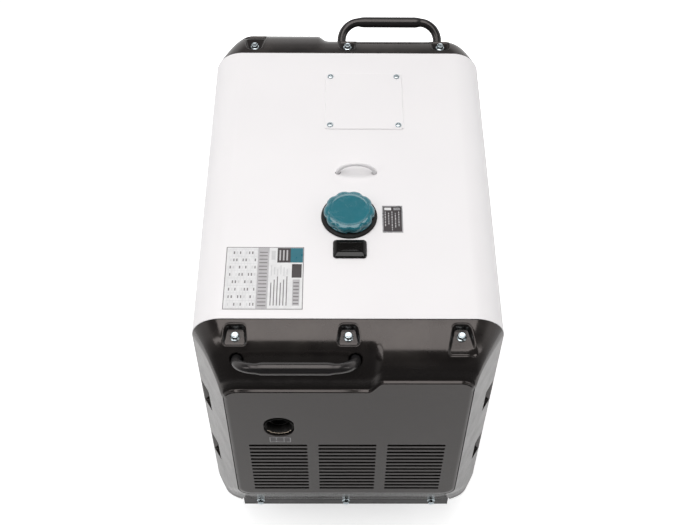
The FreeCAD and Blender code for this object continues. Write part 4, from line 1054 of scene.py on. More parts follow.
def make_handle(name, rear):
    """Bent bar with a fuller grip; u runs along X, v outward from the cover."""
    cx, half, bend = -88.0, 100.0, 38.0
    reach = 97.0 / math.cos(TILT)
    uv = [(cx - half, v) for v in np.linspace(-reach, -bend, 14)]
    uv += arc_pts(cx - half + bend, -bend, bend, 180, 90, 18)[1:]
    uv += [(u, 0.0) for u in np.linspace(cx - half + bend, cx + half - bend, 66)[1:]]
    uv += arc_pts(cx + half - bend, -bend, bend, 90, 0, 18)[1:]
    uv += [(cx + half, v) for v in np.linspace(-bend, -reach, 14)[1:]]
    path, rad = [], []
    for u, v in uv:
        p = np.array([u, 0, 0]) + np.array([0, LEG_AT[1], LEG_AT[2]]) - AX * v
        path.append(p)
        w = 1 - float(sstep(53, 69, abs(u - cx))) if v > -1e-6 else 0.0
        rad.append(9.0 + 2.0 * w)
    if rear:
        path = [np.array([-p[0], -p[1], p[2]]) for p in path]
    vs, fs = tube(path, rad, 40)
    ob = make(name, vs, fs, "handle_coating", slot="frame_black")
    fix_normals(ob)
    bevel(ob, 0.8, 2, 50)
    return ob


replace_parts(make_handle("front_handle_bar", False), "front_handle")
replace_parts(make_handle("rear_handle_bar", True), "rear_handle")


# --------------------------------------------------------------- flange bolts
def frame_of(axis):
    a = np.array(axis, float)
    a /= np.linalg.norm(a)
    ref = np.array([0, 0, 1.0]) if abs(a[2]) < 0.9 else np.array([1.0, 0, 0])
    u = np.cross(ref, a)
    u /= np.linalg.norm(u)
    return u, np.cross(a, u), a


def lathe_into(V, F, rings, at, axis, n, turn=0.0):
    """Adds rings of (radius function or number, height) around an axis."""
    u, v, a = frame_of(axis)
    at = np.array(at, float)
    ids = []
    for r, h in rings:
        if not callable(r) and r < 1e-6:
            ids.append([len(V)])
            V.append(tuple(at + a * h))
            continue
        row = []
        for j in range(n):
            t = 2 * math.pi * j / n
            rr = r(t) if callable(r) else r
            row.append(len(V))
            V.append(tuple(at + u * rr * math.cos(t + turn) + v * rr * math.sin(t + turn) + a * h))
        ids.append(row)
    for p, q in zip(ids, ids[1:]):
        for j in range(n):
            j2 = (j + 1) % n
            if len(p) == 1 and len(q) == 1:
                continue
            if len(p) == 1:
                F.append((p[0], q[j], q[j2]))
            elif len(q) == 1:
                F.append((p[j], q[0], p[j2]))
            else:
                F.append((p[j], q[j], q[j2], p[j2]))


def hexr(af, lim=1e9):
    def r(t):
        d = (math.degrees(t) + 30) % 60 - 30
        return min(af / 2 / math.cos(math.radians(d)), lim)
    return r


BV, BF = [], []
BOLTS = []
for sg in (-1, 1):
    BOLTS += [((x, sg * (HALF_L + 30.0), 773.0), (0, 0, 1), 14.0) for x in (-191.0, 0.0, 191.0)]
    BOLTS += [((sx * 248.0, sg * (HALF_L + 14.0), z), (sx, 0, 0), 14.0) for sx in (-1, 1) for z in SIDE_Z]
    BOLTS += [((x, sg * (HALF_L + 30.0), 118.0), (0, sg, 0), 12.0) for x in (-184.0, 0.0, 184.0)]
for i, (at, ax_, sh) in enumerate(BOLTS):
    rings = [(0.0, -sh), (3.4, -sh), (4.0, -sh + 0.7), (4.0, -0.05), (8.45, 0.0), (8.6, 0.25), (8.55, 0.8), (8.1, 1.15), (7.0, 1.6),
             (hexr(12, 6.75), 2.0), (hexr(12, 6.72), 5.9), (hexr(12, 6.45), 6.6), (hexr(12, 6.1), 7.2), (5.75, 7.5),
             (4.9, 7.5), (4.5, 7.15), (4.0, 7.05), (0.0, 7.0)]
    lathe_into(BV, BF, rings, at, ax_, 48, 0.37 * (i % 7))
bolts = make("flange_bolt_set", BV, BF, "zinc_steel", slot="zinc_steel")
fix_normals(bolts)
weigh(bolts)
bevel(bolts, 0.12, 1, 40)
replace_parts(bolts, "flange_bolts")


# ------------------------------------------------------ fuel cap and its ring
CX, CY = 2.0, -103.0


def cap_r(t):
    """Scalloped outline: ten shallow finger hollows between round lobes."""
    c = 0.5 + 0.5 * math.cos(10 * t)
    return 45.9 - 2.6 * c ** 2.2


def capo(o, soft=1.0):
    def r(t):
        base = cap_r(t) - o
        return base * soft + (41.8 - o) * (1 - soft)
    return r


CV, CF = [], []
lathe_into(CV, CF, [(30.0, 791.0 + 4), (38.5, 791.0 + 4), (capo(2.8), 793.6), (capo(1.0), 793.2), (capo(0.2), 793.8), (capo(0.0), 794.8),
                    (capo(0.0), 800.2), (capo(0.25), 801.8), (capo(0.9), 803.2, ), (capo(2.0), 804.5), (capo(3.6, 0.92), 805.7),
                    (capo(5.4, 0.75), 806.6), (capo(6.6, 0.5), 806.95), (capo(7.5, 0.2), 807.1), (37.2, 807.15), (36.4, 807.35), (35.6, 807.45), (34.8, 807.35),
                    (34.1, 807.05), (33.2, 806.8), (31.0, 806.7), (16.0, 806.7), (0.0, 806.7)],
           (CX, CY, 0), (0, 0, 1), 240)
# skirt lugs below the rim, with gaps between them
for q in range(5):
    a0 = math.radians(-90 + 26 + 72 * q)
    a1 = a0 + math.radians(40)
    n0 = 14
    rows = []
    for j in range(n0 + 1):
        a = a0 + (a1 - a0) * j / n0
        e = 1.0 if 0 < j < n0 else 0.82
        rows.append([len(CV) + i for i in range(6)])
        for r, z in ((38.4, 794.4), (43.8 * (e * 0.02 + 0.98), 794.4), (44.6 * (e * 0.02 + 0.98), 793.0), (44.4 * (e * 0.02 + 0.98), 791.6), (43.5, 790.9), (38.4, 790.9)):
            CV.append((CX + r * math.cos(a), CY + r * math.sin(a), z))
    for j in range(n0):
        for i in range(6):
            i2 = (i + 1) % 6
            CF.append((rows[j][i], rows[j][i2], rows[j + 1][i2], rows[j + 1][i]))
    CF.append(tuple(rows[0]))
    CF.append(tuple(rows[-1][::-1]))
cap = make("fuel_cap_moulding", CV, CF, "cap_teal", body=BODY_OF["fuel_cap"], slot="cap_teal")
fix_normals(cap)
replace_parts(cap, "fuel_cap")

# rubber ring round the filler, rolled over the sheet
glo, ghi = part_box("filler_grommet")
gz0, gz1 = glo.z / MM, ghi.z / MM
g_in = 35.4
prof = [(g_in, gz0), (g_in, gz1 - 3.4), (g_in + 0.6, gz1 - 2.0), (g_in + 2.4, gz1 - 0.9), (g_in + 5.5, gz1 - 0.2), (43.0, gz1), (47.0, gz1 - 0.35),
        (49.4, gz1 - 1.2), (50.6, gz1 - 2.6), (51.0, gz1 - 4.2), (50.7, gz1 - 5.05), (48.1, gz1 - 5.15), (47.9, gz1 - 7.25), (50.2, gz1 - 7.4), (50.4, gz0 + 1), (49.6, gz0), (g_in, gz0)]
gr = turned("filler_ring", round_profile(prof, 0.7, 3), "rubber_black", (CX, CY, 0), segs=128, closed=False, slot="rubber_black")
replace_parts(gr, "filler_grommet")


# -------------------------------------------------- rounded plates and pillows
def rrect(hw, hh, r, n):
    pts = []
    for qx, qy, a0 in ((1, -1, -90), (1, 1, 0), (-1, 1, 90), (-1, -1, 180)):
        for j in range(n + 1):
            a = math.radians(a0 + 90.0 * j / n)
            pts.append((qx * (hw - r) + r * math.cos(a), qy * (hh - r) + r * math.sin(a)))
    return pts


def pillow(name, cx, cy, z0, z1, hw, hh, r, prof, mat, body="chassis", slot=None, crown=0.0, n=8, inner=5):
    """Stack of rounded rectangles: prof is [(inset, height above z0)...]; the
    middle is closed by shrinking rings that may crown."""
    V, F = [], []
    rows = []

    def add(ins, z):
        q = rrect(hw - ins, hh - ins, max(r - ins, 0.25), n)
        rows.append([len(V) + i for i in range(len(q))])
        V.extend([(cx + x, cy + y, z) for x, y in q])
    add(prof[0][0], z0)
    for ins, h in prof:
        add(ins, z0 + h)
    last = prof[-1][0]
    top = z0 + prof[-1][1]
    for j in range(1, inner + 1):
        k = j / (inner + 0.35)
        q = rrect(hw - last, hh - last, max(r - last, 0.25), n)
        rows.append([len(V) + i for i in range(len(q))])
        V.extend([(cx + x * (1 - k), cy + y * (1 - k), top + crown * (1 - (1 - k) ** 2)) for x, y in q])
    for a, b in zip(rows, rows[1:]):
        m = len(a)
        for j in range(m):
            j2 = (j + 1) % m
            F.append((a[j], a[j2], b[j2], b[j]))
    F.append(tuple(rows[-1]))
    F.append(tuple(rows[0][::-1]))
    ob = make(name, V, F, mat, body=body, slot=slot)
    fix_normals(ob)
    return ob


wlo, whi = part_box("fuel_gauge_window")
wz1 = whi.z / MM
gw = pillow("gauge_lens", (wlo.x + whi.x) / 2 / MM, (wlo.y + whi.y) / 2 / MM, wlo.z / MM, wz1, (whi.x - wlo.x) / 2 / MM, (whi.y - wlo.y) / 2 / MM, 6.5,
            [(0.1, 0.0), (0.0, 0.6), (0.1, 1.6), (0.6, 2.5), (1.5, 3.2), (3.0, 4.1), (5.0, 5.1), (7.0, 5.9), (8.4, 6.3), (9.4, 6.35), (10.4, 6.2)], "smoked_window",
            slot="black_plastic", crown=0.25)
weigh(gw)
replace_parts(gw, "fuel_gauge_window")

# access plate with a rolled edge and four cross-recess screws
alo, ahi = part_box("access_plate")
px, py = (alo.x + ahi.x) / 2 / MM, (alo.y + ahi.y) / 2 / MM
plate = pillow("access_cover", px, py, TOP + 0.02, TOP + 1.5, 76, 76, 4.5,
               [(0.5, 0.0), (0.12, 0.12), (0.0, 0.45), (0.0, 0.9), (0.15, 1.25), (0.5, 1.46), (1.2, 1.5)], "canopy_white", slot="canopy_white", inner=6)
weigh(plate)
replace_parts(plate, "access_plate")


def cross_screw(V, F, at, turn, mat_list):
    """Pan head with a cross recess."""
    n = 48

    def head(r0):
        return lambda t: r0
    lathe_into(V, F, [(0.0, -8.0), (2.0, -8.0), (2.4, -7.4), (2.4, -0.05), (6.0, 0.0), (6.3, 0.3), (6.25, 0.9), (5.9, 1.7), (5.2, 2.35), (4.1, 2.8), (3.1, 2.97)], at, (0, 0, 1), n, turn)
    base = len(V) - n

    def cross(k, w):
        def r(t):
            d = ((math.degrees(t) + 45) % 90) - 45
            a = math.radians(abs(d))
            out = w / max(math.sin(a), 1e-6)
            return min(k / max(math.cos(a), 0.3), out) if out > 0 else k
        return r
    rings = [(cross(2.3, 0.62), 3.0), (cross(2.1, 0.50), 2.85), (cross(1.5, 0.42), 1.4), (0.0, 1.1)]
    lathe_into(V, F, rings, at, (0, 0, 1), n, turn)
    st = len(V) - 1 - 3 * n
    for j in range(n):
        j2 = (j + 1) % n
        F.append((base + j, base + j2, st + j2, st + j))


SV, SF = [], []
for i, (sx, sy) in enumerate(((-1, -1), (1, -1), (1, 1), (-1, 1))):
    cross_screw(SV, SF, (px + 66 * sx, py + 66 * sy, TOP + 1.5), 0.4 + 0.9 * i, None)
sc = make("access_screw_set", SV, SF, "zinc_steel", slot="zinc_steel")
fix_normals(sc)
weigh(sc)
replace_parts(sc, "access_plate_screws")

# lifting eye: bent rod coming up through the sheet, painted with it
elo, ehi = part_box("lifting_eye")
ex, ey = (elo.x + ehi.x) / 2 / MM, (elo.y + ehi.y) / 2 / MM
ez0, ez1 = elo.z / MM, ehi.z / MM
hs = 34.0
zb, rise = TOP + 0.5, ez1 - 4.0 - TOP - 0.5
uv = [(ex - hs, z) for z in np.linspace(ez0, zb, 8)]
uv += [(ex - hs * math.cos(math.pi * j / 40), zb + rise * math.sin(math.pi * j / 40)) for j in range(1, 40)]
uv += [(ex + hs, z) for z in np.linspace(zb, ez0, 8)]
vs, fs = tube([(u, ey, z) for u, z in uv], 4.0, 28)
eye = make("lifting_eye_rod", vs, fs, "canopy_white", slot="canopy_white")
fix_normals(eye)
bevel(eye, 0.3, 1, 50)
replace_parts(eye, "lifting_eye")


# -------------------------------------------------------------- printed plates
def printed(name, node, z, mats, cells, thick, body="chassis", slot="label_film", r=0.0):
    """Flat plate tiled with coloured rectangles: cells is [(x0, y0, x1, y1, mat)]
    in plate fractions, later ones on top.  The tiles share edges, so nothing
    overlaps."""
    lo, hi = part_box(node)
    x0, y0, w, h = lo.x / MM, lo.y / MM, (hi.x - lo.x) / MM, (hi.y - lo.y) / MM
    xs, ys = {0.0, 1.0}, {0.0, 1.0}
    for c in cells:
        xs |= {round(c[0], 5), round(c[2], 5)}
        ys |= {round(c[1], 5), round(c[3], 5)}
    xs, ys = sorted(xs), sorted(ys)
    V, F, FM = [], [], []
    for y in ys:
        for x in xs:
            V.append((x0 + x * w, y0 + y * h, z))
    nx = len(xs)
    for j in range(len(ys) - 1):
        for i in range(nx - 1):
            mx_, my_ = (xs[i] + xs[i + 1]) / 2, (ys[j] + ys[j + 1]) / 2
            m = 0
            for c in cells:
                if c[0] <= mx_ <= c[2] and c[1] <= my_ <= c[3]:
                    m = mats.index(c[4])
            F.append((j * nx + i, j * nx + i + 1, (j + 1) * nx + i + 1, (j + 1) * nx + i))
            FM.append(m)
    # skirt and underside
    b = len(V)
    m_ = len(ys)
    rim = [i for i in range(nx)] + [j * nx + nx - 1 for j in range(1, m_)] + [(m_ - 1) * nx + i for i in range(nx - 2, -1, -1)] + [j * nx for j in range(m_ - 2, 0, -1)]
    for i in rim:
        x, y, _ = V[i]
        V.append((x, y, z - thick))
    k = len(rim)
    for j in range(k):
        j2 = (j + 1) % k
        F.append((rim[j], b + j, b + j2, rim[j2]))
        FM.append(0)
    F.append(tuple(b + j for j in range(k - 1, -1, -1)))
    FM.append(0)
    ob = make(name, V, F, mats, FM, body=body, slot=slot, smooth=False)
    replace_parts(ob, node)
    return ob


cells = [(0, 0, 1, 1, "film_mid"), (0.010, 0.010, 0.990, 0.990, "film_white")]
# ruled table on the left
cells.append((0.045, 0.02, 0.40, 0.965, "film_white"))
for t in np.linspace(0.045, 0.40, 10):
    cells.append((t - 0.0016, 0.02, t + 0.0016, 0.965, "film_line"))
for t in np.linspace(0.02, 0.965, 9):
    cells.append((0.045, t - 0.0022, 0.40, t + 0.0022, "film_line"))
for i in range(9):
    for j in range(8):
        if (i * 5 + j * 3) % 4 != 1:
            cx_ = 0.045 + 0.3944 * 0.1 * (i + 0.5)
            cy_ = 0.02 + 0.118 * (j + 0.5)
            cells.append((cx_ - 0.006 - 0.002 * ((i + j) % 3), cy_ - 0.022, cx_ + 0.006 + 0.002 * ((i * j) % 2), cy_ + 0.022, "film_mid" if (i + j) % 3 else "film_line"))
cells.append((0.41, 0.012, 0.555, 0.988, "film_pale"))
for j in range(16):
    y = 0.05 + j * 0.057
    cells.append((0.43, y, 0.535, y + 0.016, "film_mid"))
for i in range(6):
    x = 0.585 + i * 0.040
    cells.append((x, 0.06, x + 0.013, 0.42 + 0.05 * (i % 3), "film_mid"))
    cells.append((x, 0.53 + 0.02 * (i % 2), x + 0.013, 0.70 - 0.03 * (i % 3), "film_line"))
cells.append((0.83, 0.745, 0.988, 0.985, "film_teal"))
cells.append((0.66, 0.745, 0.83, 0.985, "film_dark"))
for i in range(3):
    cells.append((0.685 + 0.045 * i, 0.78, 0.705 + 0.045 * i, 0.95, "film_pale"))
cells.append((0.56, 0.745, 0.66, 0.985, "film_white"))
cells.append((0.585, 0.79, 0.635, 0.94, "film_line"))
cells.append((0.85, 0.50, 0.975, 0.72, "film_dark"))
cells.append((0.865, 0.06, 0.955, 0.47, "film_pale"))
for j in range(7):
    cells.append((0.875, 0.08 + j * 0.055, 0.945, 0.10 + j * 0.055, "film_mid"))
printed("data_plate_print", "data_plate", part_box("data_plate")[1].z / MM, ["film_white", "film_teal", "film_dark", "film_mid", "film_pale", "film_line"], cells, 0.38)

cells = [(0, 0, 1, 1, "film_silver"), (0.055, 0.035, 0.945, 0.965, "film_dark")]
cells.append((0.11, 0.83, 0.44, 0.925, "film_white"))
cells.append((0.56, 0.83, 0.88, 0.925, "film_silver"))
for i in range(5):
    x = 0.11 + i * 0.165
    top_ = 0.78 - 0.05 * (i % 2)
    y = top_
    j = 0
    while y > 0.12 + 0.10 * ((i + 1) % 3):
        hgt = 0.05 + 0.02 * ((i * 3 + j) % 3)
        cells.append((x + 0.012, max(y - hgt, 0.08), x + 0.062, y, "film_pale" if (i + j) % 3 else "film_silver"))
        y -= hgt + 0.025
        j += 1
printed("caution_plate_print", "caution_plate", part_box("caution_plate")[1].z / MM, ["film_silver", "film_dark", "film_white", "film_pale"], cells, 0.38)

# plain sticker under the exhaust opening
V, F, FM = [], [], []
lx0, lx1, lz0, lz1 = -142.0, -104.0, 518.5, 536.0
xs = [lx0, lx0 + 1.0, lx0 + 11.5, lx0 + 12.5, lx0 + 25.5, lx0 + 26.5, lx1 - 1.0, lx1]
zs = [lz0, lz0 + 0.9, lz1 - 0.9, lz1]
for z in zs:
    for x in xs:
        V.append((x, -HALF_L - DEPTH - 0.25, z))
nx = len(xs)
for j in range(len(zs) - 1):
    for i in range(nx - 1):
        F.append((j * nx + i, j * nx + i + 1, (j + 1) * nx + i + 1, (j + 1) * nx + i))
        edge_ = i in (0, 2, 4, nx - 2) or j in (0, 2)
        FM.append(1 if edge_ else 0)
rim = [i for i in range(nx)] + [j * nx + nx - 1 for j in range(1, 4)] + [3 * nx + i for i in range(nx - 2, -1, -1)] + [j * nx for j in range(2, 0, -1)]
b = len(V)
for i in rim:
    V.append((V[i][0], V[i][1] + 0.24, V[i][2]))
for j in range(len(rim)):
    j2 = (j + 1) % len(rim)
    F.append((rim[j], b + j, b + j2, rim[j2]))
    FM.append(1)
lab = make("exhaust_sticker", V, F, ["film_dark", "film_silver"], FM, slot="label_film", smooth=False)
fix_normals(lab)

# ----------------------------------------------------- tailpipe and its lagging
tp = rounded_from_cad("exhaust_tailpipe", 0.5, 2, "sooted_steel", 40)
LV, LF = [], []
rng = np.random.RandomState(7)
wob = rng.rand(96, 16)
n = 96
rows = []
prof = [(26.5, -340.0), (26.6, -404.0), (26.6, -413.0), (26.3, -416.6), (25.4, -417.9), (24.2, -417.2), (23.3, -414.2), (23.2, -410.0), (23.8, -402.0), (24.4, -389.0), (24.6, -340.0)]
for i, (r, y) in enumerate(prof):
    row = []
    for j in range(n):
        a = 2 * math.pi * j / n
        am = {3: 0.35, 4: 0.8, 5: 1.0, 6: 1.0, 7: 0.9, 8: 0.4}.get(i, 0.0)
        w = am * (1.5 * abs(math.sin(5.5 * a + 0.4)) ** 1.5 + 0.8 * (wob[j, i] - 0.5) + 0.5 * math.sin(13 * a + i))
        row.append(len(LV))
        rr = min(r + w, 26.75)
        LV.append((-123.4 + rr * math.cos(a), y + am * 1.0 * (wob[(j + 9) % n, i + 1] - 0.5), 575.0 + rr * math.sin(a)))
    rows.append(row)
LM = []
for i, (a, b) in enumerate(zip(rows, rows[1:] + rows[:1])):
    for j in range(n):
        j2 = (j + 1) % n
        LF.append((a[j], a[j2], b[j2], b[j]))
        t = 2 * math.pi * (j + 0.5) / n
        # pale lagging only on the lower front edge; the rest of the ring takes sooted_steel, soot plus painted shade
        # inside the opening
        LM.append(0 if 2 <= i <= 4 and math.sin(t) < -0.5 + 0.1 * math.sin(5 * t) else 1)
lg = make("tailpipe_lagging", LV, LF, ["lagging", "sooted_steel"], LM, slot="hot_steel")
fix_normals(lg)


# -------------------------------------------------------------------- wheels
def wheel(name, node):
    lo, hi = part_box(node)
    c = ((lo + hi) / 2) / MM
    r1 = (hi.z - lo.z) / 2 / MM
    hw = (hi.x - lo.x) / 2 / MM
    half = [(4.3, hw - 0.35), (5.0, hw), (9.2, hw), (9.9, hw - 0.7), (10.2, hw - 6.5), (12.2, hw - 8.4), (21.0, hw - 8.8), (23.2, hw - 7.0), (23.8, hw - 2.6),
            (24.6, hw - 1.9), (27.2, hw - 1.9), (27.9, hw - 2.6), (28.2, hw - 2.6), (29.0, hw - 1.5), (31.0, hw - 0.9), (33.4, hw - 1.6), (35.4, hw - 3.2), (36.8, hw - 5.6),
            (r1 - 0.15, hw - 8.0), (r1, hw - 9.0), (r1, 4.0), (r1 - 1.1, 3.4), (r1 - 1.1, 2.2), (r1, 1.6)]
    prof = half + [(r, -h) for r, h in reversed(half)] + [half[0]]
    V, F = [], []
    n = 96
    lathe_into(V, F, prof, tuple(c), (1, 0, 0), n)
    k = len(half)
    FM = []
    for i in range(len(F)):
        b = i // n
        b = b if b < k else 2 * k - 1 - b
        FM.append(0 if 11 <= b else 1)
    ob = make(name, V, F, ["tyre_grey", "black_plastic"], FM, body=BODY_OF[node], slot="rubber_black", merge=0.001)
    fix_normals(ob)
    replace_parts(ob, node)
    return ob


for wn in ("front_wheel_left", "front_wheel_right", "rear_wheel_left", "rear_wheel_right"):
    wheel(wn + "_tyre", wn)


# ------------------------------------------------------------- control panel
def annulus_box(V, F, FM, cx, cz, hw, hh, r, prof, m, n=8, flip=1.0):
    """Rounded-rectangle frame in the XZ plane: prof is [(inset, y)...] closed."""
    rows = []
    for ins, y in prof:
        q = rrect(hw - ins, hh - ins, max(r - ins, 0.3), n)
        rows.append([len(V) + i for i in range(len(q))])
        V.extend([(cx + x, y, cz + z) for x, z in q])
    for a, b in zip(rows, rows[1:] + rows[:1]):
        k = len(a)
        for j in range(k):
            j2 = (j + 1) % k
            F.append((a[j], a[j2], b[j2], b[j]))
            FM.append(m)


mlo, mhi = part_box("panel_meter")
mx0, mz0 = (mlo.x + mhi.x) / 2 / MM, (mlo.z + mhi.z) / 2 / MM
mhw, mhh = (mhi.x - mlo.x) / 2 / MM, (mhi.z - mlo.z) / 2 / MM
my0, my1 = mlo.y / MM, mhi.y / MM
V, F, FM = [], [], []
face_y = my1 - 2.2
annulus_box(V, F, FM, mx0, mz0, mhw, mhh, 3.0,
            [(0.0, 415.4), (0.0, my1 - 0.9), (0.35, my1 - 0.25), (1.0, my1), (4.6, my1), (5.1, my1 - 0.3), (5.3, face_y - 0.1), (5.3, 415.4)], 0)
q = rrect(mhw - 5.35, mhh - 5.35, 0.5, 2)
b = len(V)
V.extend([(mx0 + x, face_y, mz0 + z) for x, z in q])
F.append(tuple(b + i for i in range(len(q))))
FM.append(1)
# scale marks and pointer, raised off the dial
piv = (mx0, mz0 - mhh + 8.0)


def blade(r0, r1, a, w0, w1, y, m):
    ca, sa = math.cos(a), math.sin(a)
    p = [(r0, -w0), (r1, -w1), (r1, w1), (r0, w0)]
    s = len(V)
    for yy in (y, y + 0.25):
        for r, w in p:
            V.append((piv[0] + r * ca - w * sa, yy, piv[1] + r * sa + w * ca))
    F.extend([(s + 3, s + 2, s + 1, s), (s + 4, s + 5, s + 6, s + 7)])
    for j in range(4):
        j2 = (j + 1) % 4
        F.append((s + j, s + j2, s + 4 + j2, s + 4 + j))
    FM.extend([m] * 6)


for j in range(13):
    a = math.radians(35 + 110 * j / 12)
    blade(16.2 if j % 3 else 14.6, 18.6, a, 0.28, 0.28, face_y, 0)
blade(-2.5, 16.0, math.radians(118), 0.6, 0.15, face_y + 0.35, 0)
mt = make("meter_case", V, F, ["black_plastic", "dial_white"], FM, slot="black_plastic", smooth=False)
fix_normals(mt)
bevel(mt, 0.12, 1, 40)
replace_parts(mt, "panel_meter")

# ------------------------------- every other node, with its edges rolled over
SLOT_OF = {s["node"]: s["material_slot"] for s in frame["record"]["subparts"]}
LOOK = {
    "canopy_shell": ("canopy_white", 0.45, 2, 40), "service_door": ("canopy_white", 0.9, 3, 40),
    "floor_pan": ("cover_grey", 0.5, 2, 40), "base_frame": ("frame_black", 1.2, 3, 40),
    "front_bulkhead": ("frame_black", 0.4, 1, 40), "rear_bulkhead": ("frame_black", 0.4, 1, 40),
    "lifting_arch": ("frame_black", 1.0, 2, 40), "fuel_tank": ("tank_black", 1.0, 2, 40),
    "fuel_gauge_housing": ("black_plastic", 0.3, 1, 40), "fuel_gauge_needle": ("needle_orange", 0.15, 1, 40),
    "crankcase": ("painted_engine", 1.2, 2, 40), "cylinder_block": ("cast_alloy", 0.5, 1, 40),
    "rocker_cover": ("cast_alloy", 1.0, 2, 40), "crankshaft": ("cast_iron", 0.4, 1, 40), "flywheel": ("cast_iron", 0.5, 1, 40),
    "fan_shroud": ("painted_engine", 0.5, 1, 40), "muffler": ("hot_steel", 0.8, 2, 40), "starter_motor": ("black_plastic", 0.6, 2, 40),
    "air_filter": ("black_plastic", 1.2, 2, 40), "alternator_stator": ("cast_alloy", 1.0, 2, 40), "alternator_rotor": ("copper_winding", 0.6, 1, 40),
    "battery": ("black_plastic", 1.2, 2, 40), "engine_mounts": ("rubber_black", 0.8, 2, 40),
    "fixed_caster_brackets": ("zinc_steel", 0.6, 2, 40), "caster_fork_left": ("zinc_steel", 0.6, 2, 40), "caster_fork_right": ("zinc_steel", 0.6, 2, 40),
    "front_axles": ("zinc_steel", 0.5, 2, 40), "rear_axle_left": ("zinc_steel", 0.5, 2, 40), "rear_axle_right": ("zinc_steel", 0.5, 2, 40),
    "swivel_caster_plates": ("zinc_steel", 0.5, 2, 40), "hinge_door_leaves": ("zinc_steel", 0.4, 2, 40), "hinge_fixed_leaves": ("zinc_steel", 0.4, 2, 40),
    "hinge_pins": ("zinc_steel", 0.3, 2, 40), "door_latch_upper": ("black_plastic", 0.8, 3, 40), "door_latch_lower": ("black_plastic", 0.8, 3, 40),
    "control_panel": ("panel_grey", 0.8, 3, 40), "ac_sockets": ("socket_blue", 0.7, 3, 40), "circuit_breaker": ("black_plastic", 0.6, 2, 40),
    "breaker_lever": ("black_plastic", 0.5, 2, 40), "start_key": ("zinc_steel", 0.4, 2, 40), "stop_button": ("stop_red", 0.9, 3, 40),
}
DONE = set()
for ob in list(scene.objects):
    DONE |= set(ob.get("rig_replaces", []))
for nm in sorted(NODES):
    if nm in DONE:
        continue
    mat, wd, sg, an = LOOK.get(nm, (SLOT_OF[nm] if SLOT_OF[nm] in M else "frame_black", 0.4, 1, 40))
    rounded_from_cad(nm, wd, sg, mat, an)


# -------------------------------------------------------------------- camera
cam = bpy.data.objects.new("camera", bpy.data.cameras.new("camera"))
scene.collection.objects.link(cam)
pitch, yaw, roll = math.radians(53.643), math.radians(0.917), math.radians(0.878)
fwd = Vector((math.sin(yaw) * math.cos(pitch), math.cos(yaw) * math.cos(pitch), -math.sin(pitch)))
rgt = Vector((math.cos(yaw), -math.sin(yaw), 0))
upv = rgt.cross(fwd)
right = rgt * math.cos(roll) + upv * math.sin(roll)
up = -rgt * math.sin(roll) + upv * math.cos(roll)
rot = Matrix((right, up, -fwd)).transposed()
cam.matrix_world = Matrix.Translation(Vector((-0.0153, -1.3556, 2.3467))) @ rot.to_4x4()
cam.data.sensor_width = 36
cam.data.lens = 1104.1 * 36 / 700
cam.data.clip_start = 0.05
cam.data.clip_end = 60
scene.camera = cam

# --------------------------------------------------------------------- stage
fl = bpy.data.meshes.new("floor")
n = 64
fl.from_pydata([(0, 0, 0)] + [(1.45 * math.cos(2 * math.pi * i / n), 1.45 * math.sin(2 * math.pi * i / n), 0) for i in range(n)],
               [], [(0, i + 1, (i + 1) % n + 1) for i in range(n)])
floor = bpy.data.objects.new("floor", fl)
scene.collection.objects.link(floor)
k = Mat("floor_paint", (0.90, 0.90, 0.90), 0.7)
k.b.inputs["Emission Color"].default_value = (1, 1, 1, 1)
flo = k.n.new("ShaderNodeVectorMath")
flo.operation = "LENGTH"
k.link(k.coord, flo.inputs[0])
seen = k.n.new("ShaderNodeLightPath").outputs["Is Camera Ray"]
glow = k.ramp(flo.outputs["Value"], 0.75, 1.40, 0.22, 0.80)
k.link(k.math("ADD", glow, k.math("MULTIPLY", seen, 0.42)), k.b.inputs["Emission Strength"])
k.b.inputs["Specular IOR Level"].default_value = 0.1
fl.materials.append(k.done())

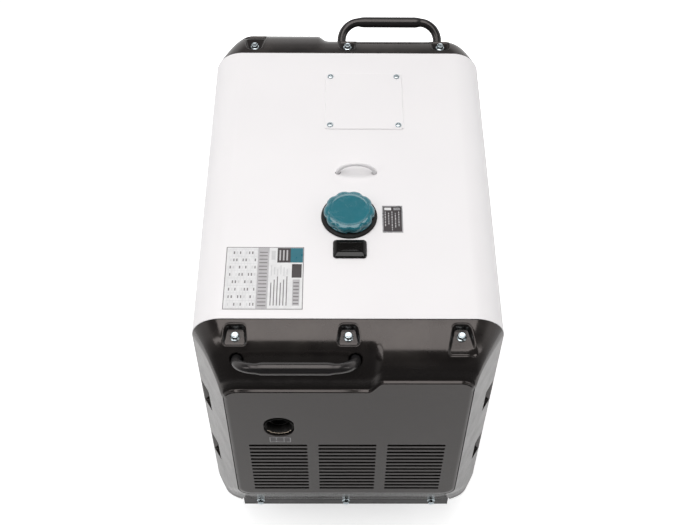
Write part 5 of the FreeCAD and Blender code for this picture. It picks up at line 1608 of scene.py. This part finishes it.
world = bpy.data.worlds.new("studio")
scene.world = world
world.use_nodes = True
wt = world.node_tree
bg = wt.nodes["Background"]
tc = wt.nodes.new("ShaderNodeTexCoord")
sep = wt.nodes.new("ShaderNodeSeparateXYZ")
wt.links.new(tc.outputs["Generated"], sep.inputs[0])
mr = wt.nodes.new("ShaderNodeMapRange")
mr.interpolation_type = "SMOOTHSTEP"
mr.inputs["From Min"].default_value = -0.7
mr.inputs["From Max"].default_value = 0.5
mr.inputs["To Min"].default_value = 0.06
mr.inputs["To Max"].default_value = 0.50
wt.links.new(sep.outputs["Y"], mr.inputs["Value"])
high = wt.nodes.new("ShaderNodeMapRange")
high.interpolation_type = "SMOOTHSTEP"
for key_, val_ in (("From Min", 0.30), ("From Max", 0.72), ("To Min", 2.3), ("To Max", 0.22)):
    high.inputs[key_].default_value = val_
wt.links.new(sep.outputs["Z"], high.inputs["Value"])
mul = wt.nodes.new("ShaderNodeMath")
mul.operation = "MULTIPLY"
wt.links.new(mr.outputs["Result"], mul.inputs[0])
wt.links.new(high.outputs["Result"], mul.inputs[1])
lp = wt.nodes.new("ShaderNodeLightPath")
mx = wt.nodes.new("ShaderNodeMix")
mx.data_type = "RGBA"
wt.links.new(lp.outputs["Is Camera Ray"], mx.inputs["Factor"])
wt.links.new(mul.outputs[0], mx.inputs["A"])
mx.inputs["B"].default_value = (1.05, 1.05, 1.05, 1)
wt.links.new(mx.outputs["Result"], bg.inputs["Color"])
bg.inputs["Strength"].default_value = 1.0


def area(name, loc, look, sx, sy, radiance, color=(1, 1, 1)):
    ld = bpy.data.lights.new(name, "AREA")
    ld.shape = "RECTANGLE"
    ld.size, ld.size_y = sx, sy
    ld.energy = radiance * math.pi * sx * sy
    ld.color = color
    ob = bpy.data.objects.new(name, ld)
    scene.collection.objects.link(ob)
    ob.location = loc
    ob.rotation_mode = "QUATERNION"
    ob.rotation_quaternion = (Vector(look) - Vector(loc)).to_track_quat("-Z", "Y")
    ob.visible_camera = False
    return ob


area("overhead_softbox", (-0.20, 0.02, 3.3), (-0.20, 0.02, 0), 2.5, 2.75, 3.32, (1.0, 0.985, 0.98))
area("strip_left", (-2.05, -1.15, 2.5), (-0.05, -0.37, 0.75), 0.75, 1.5, 3.6)
area("strip_right", (2.3, -1.0, 2.1), (0.1, -0.35, 0.7), 0.5, 1.7, 2.4)

for sx in (-1, 1):
    fill = area("side_fill", (sx * 2.6, 0.1, 1.7), (0, 0, 0.6), 1.6, 2.4, 0.30)
    fill.visible_glossy = False
back_fill = area("back_fill", (0, 2.8, 2.0), (0, 0, 0.7), 2.0, 1.2, 0.35)
back_fill.visible_glossy = False

scene.view_settings.view_transform = "Standard"
scene.view_settings.look = "None"
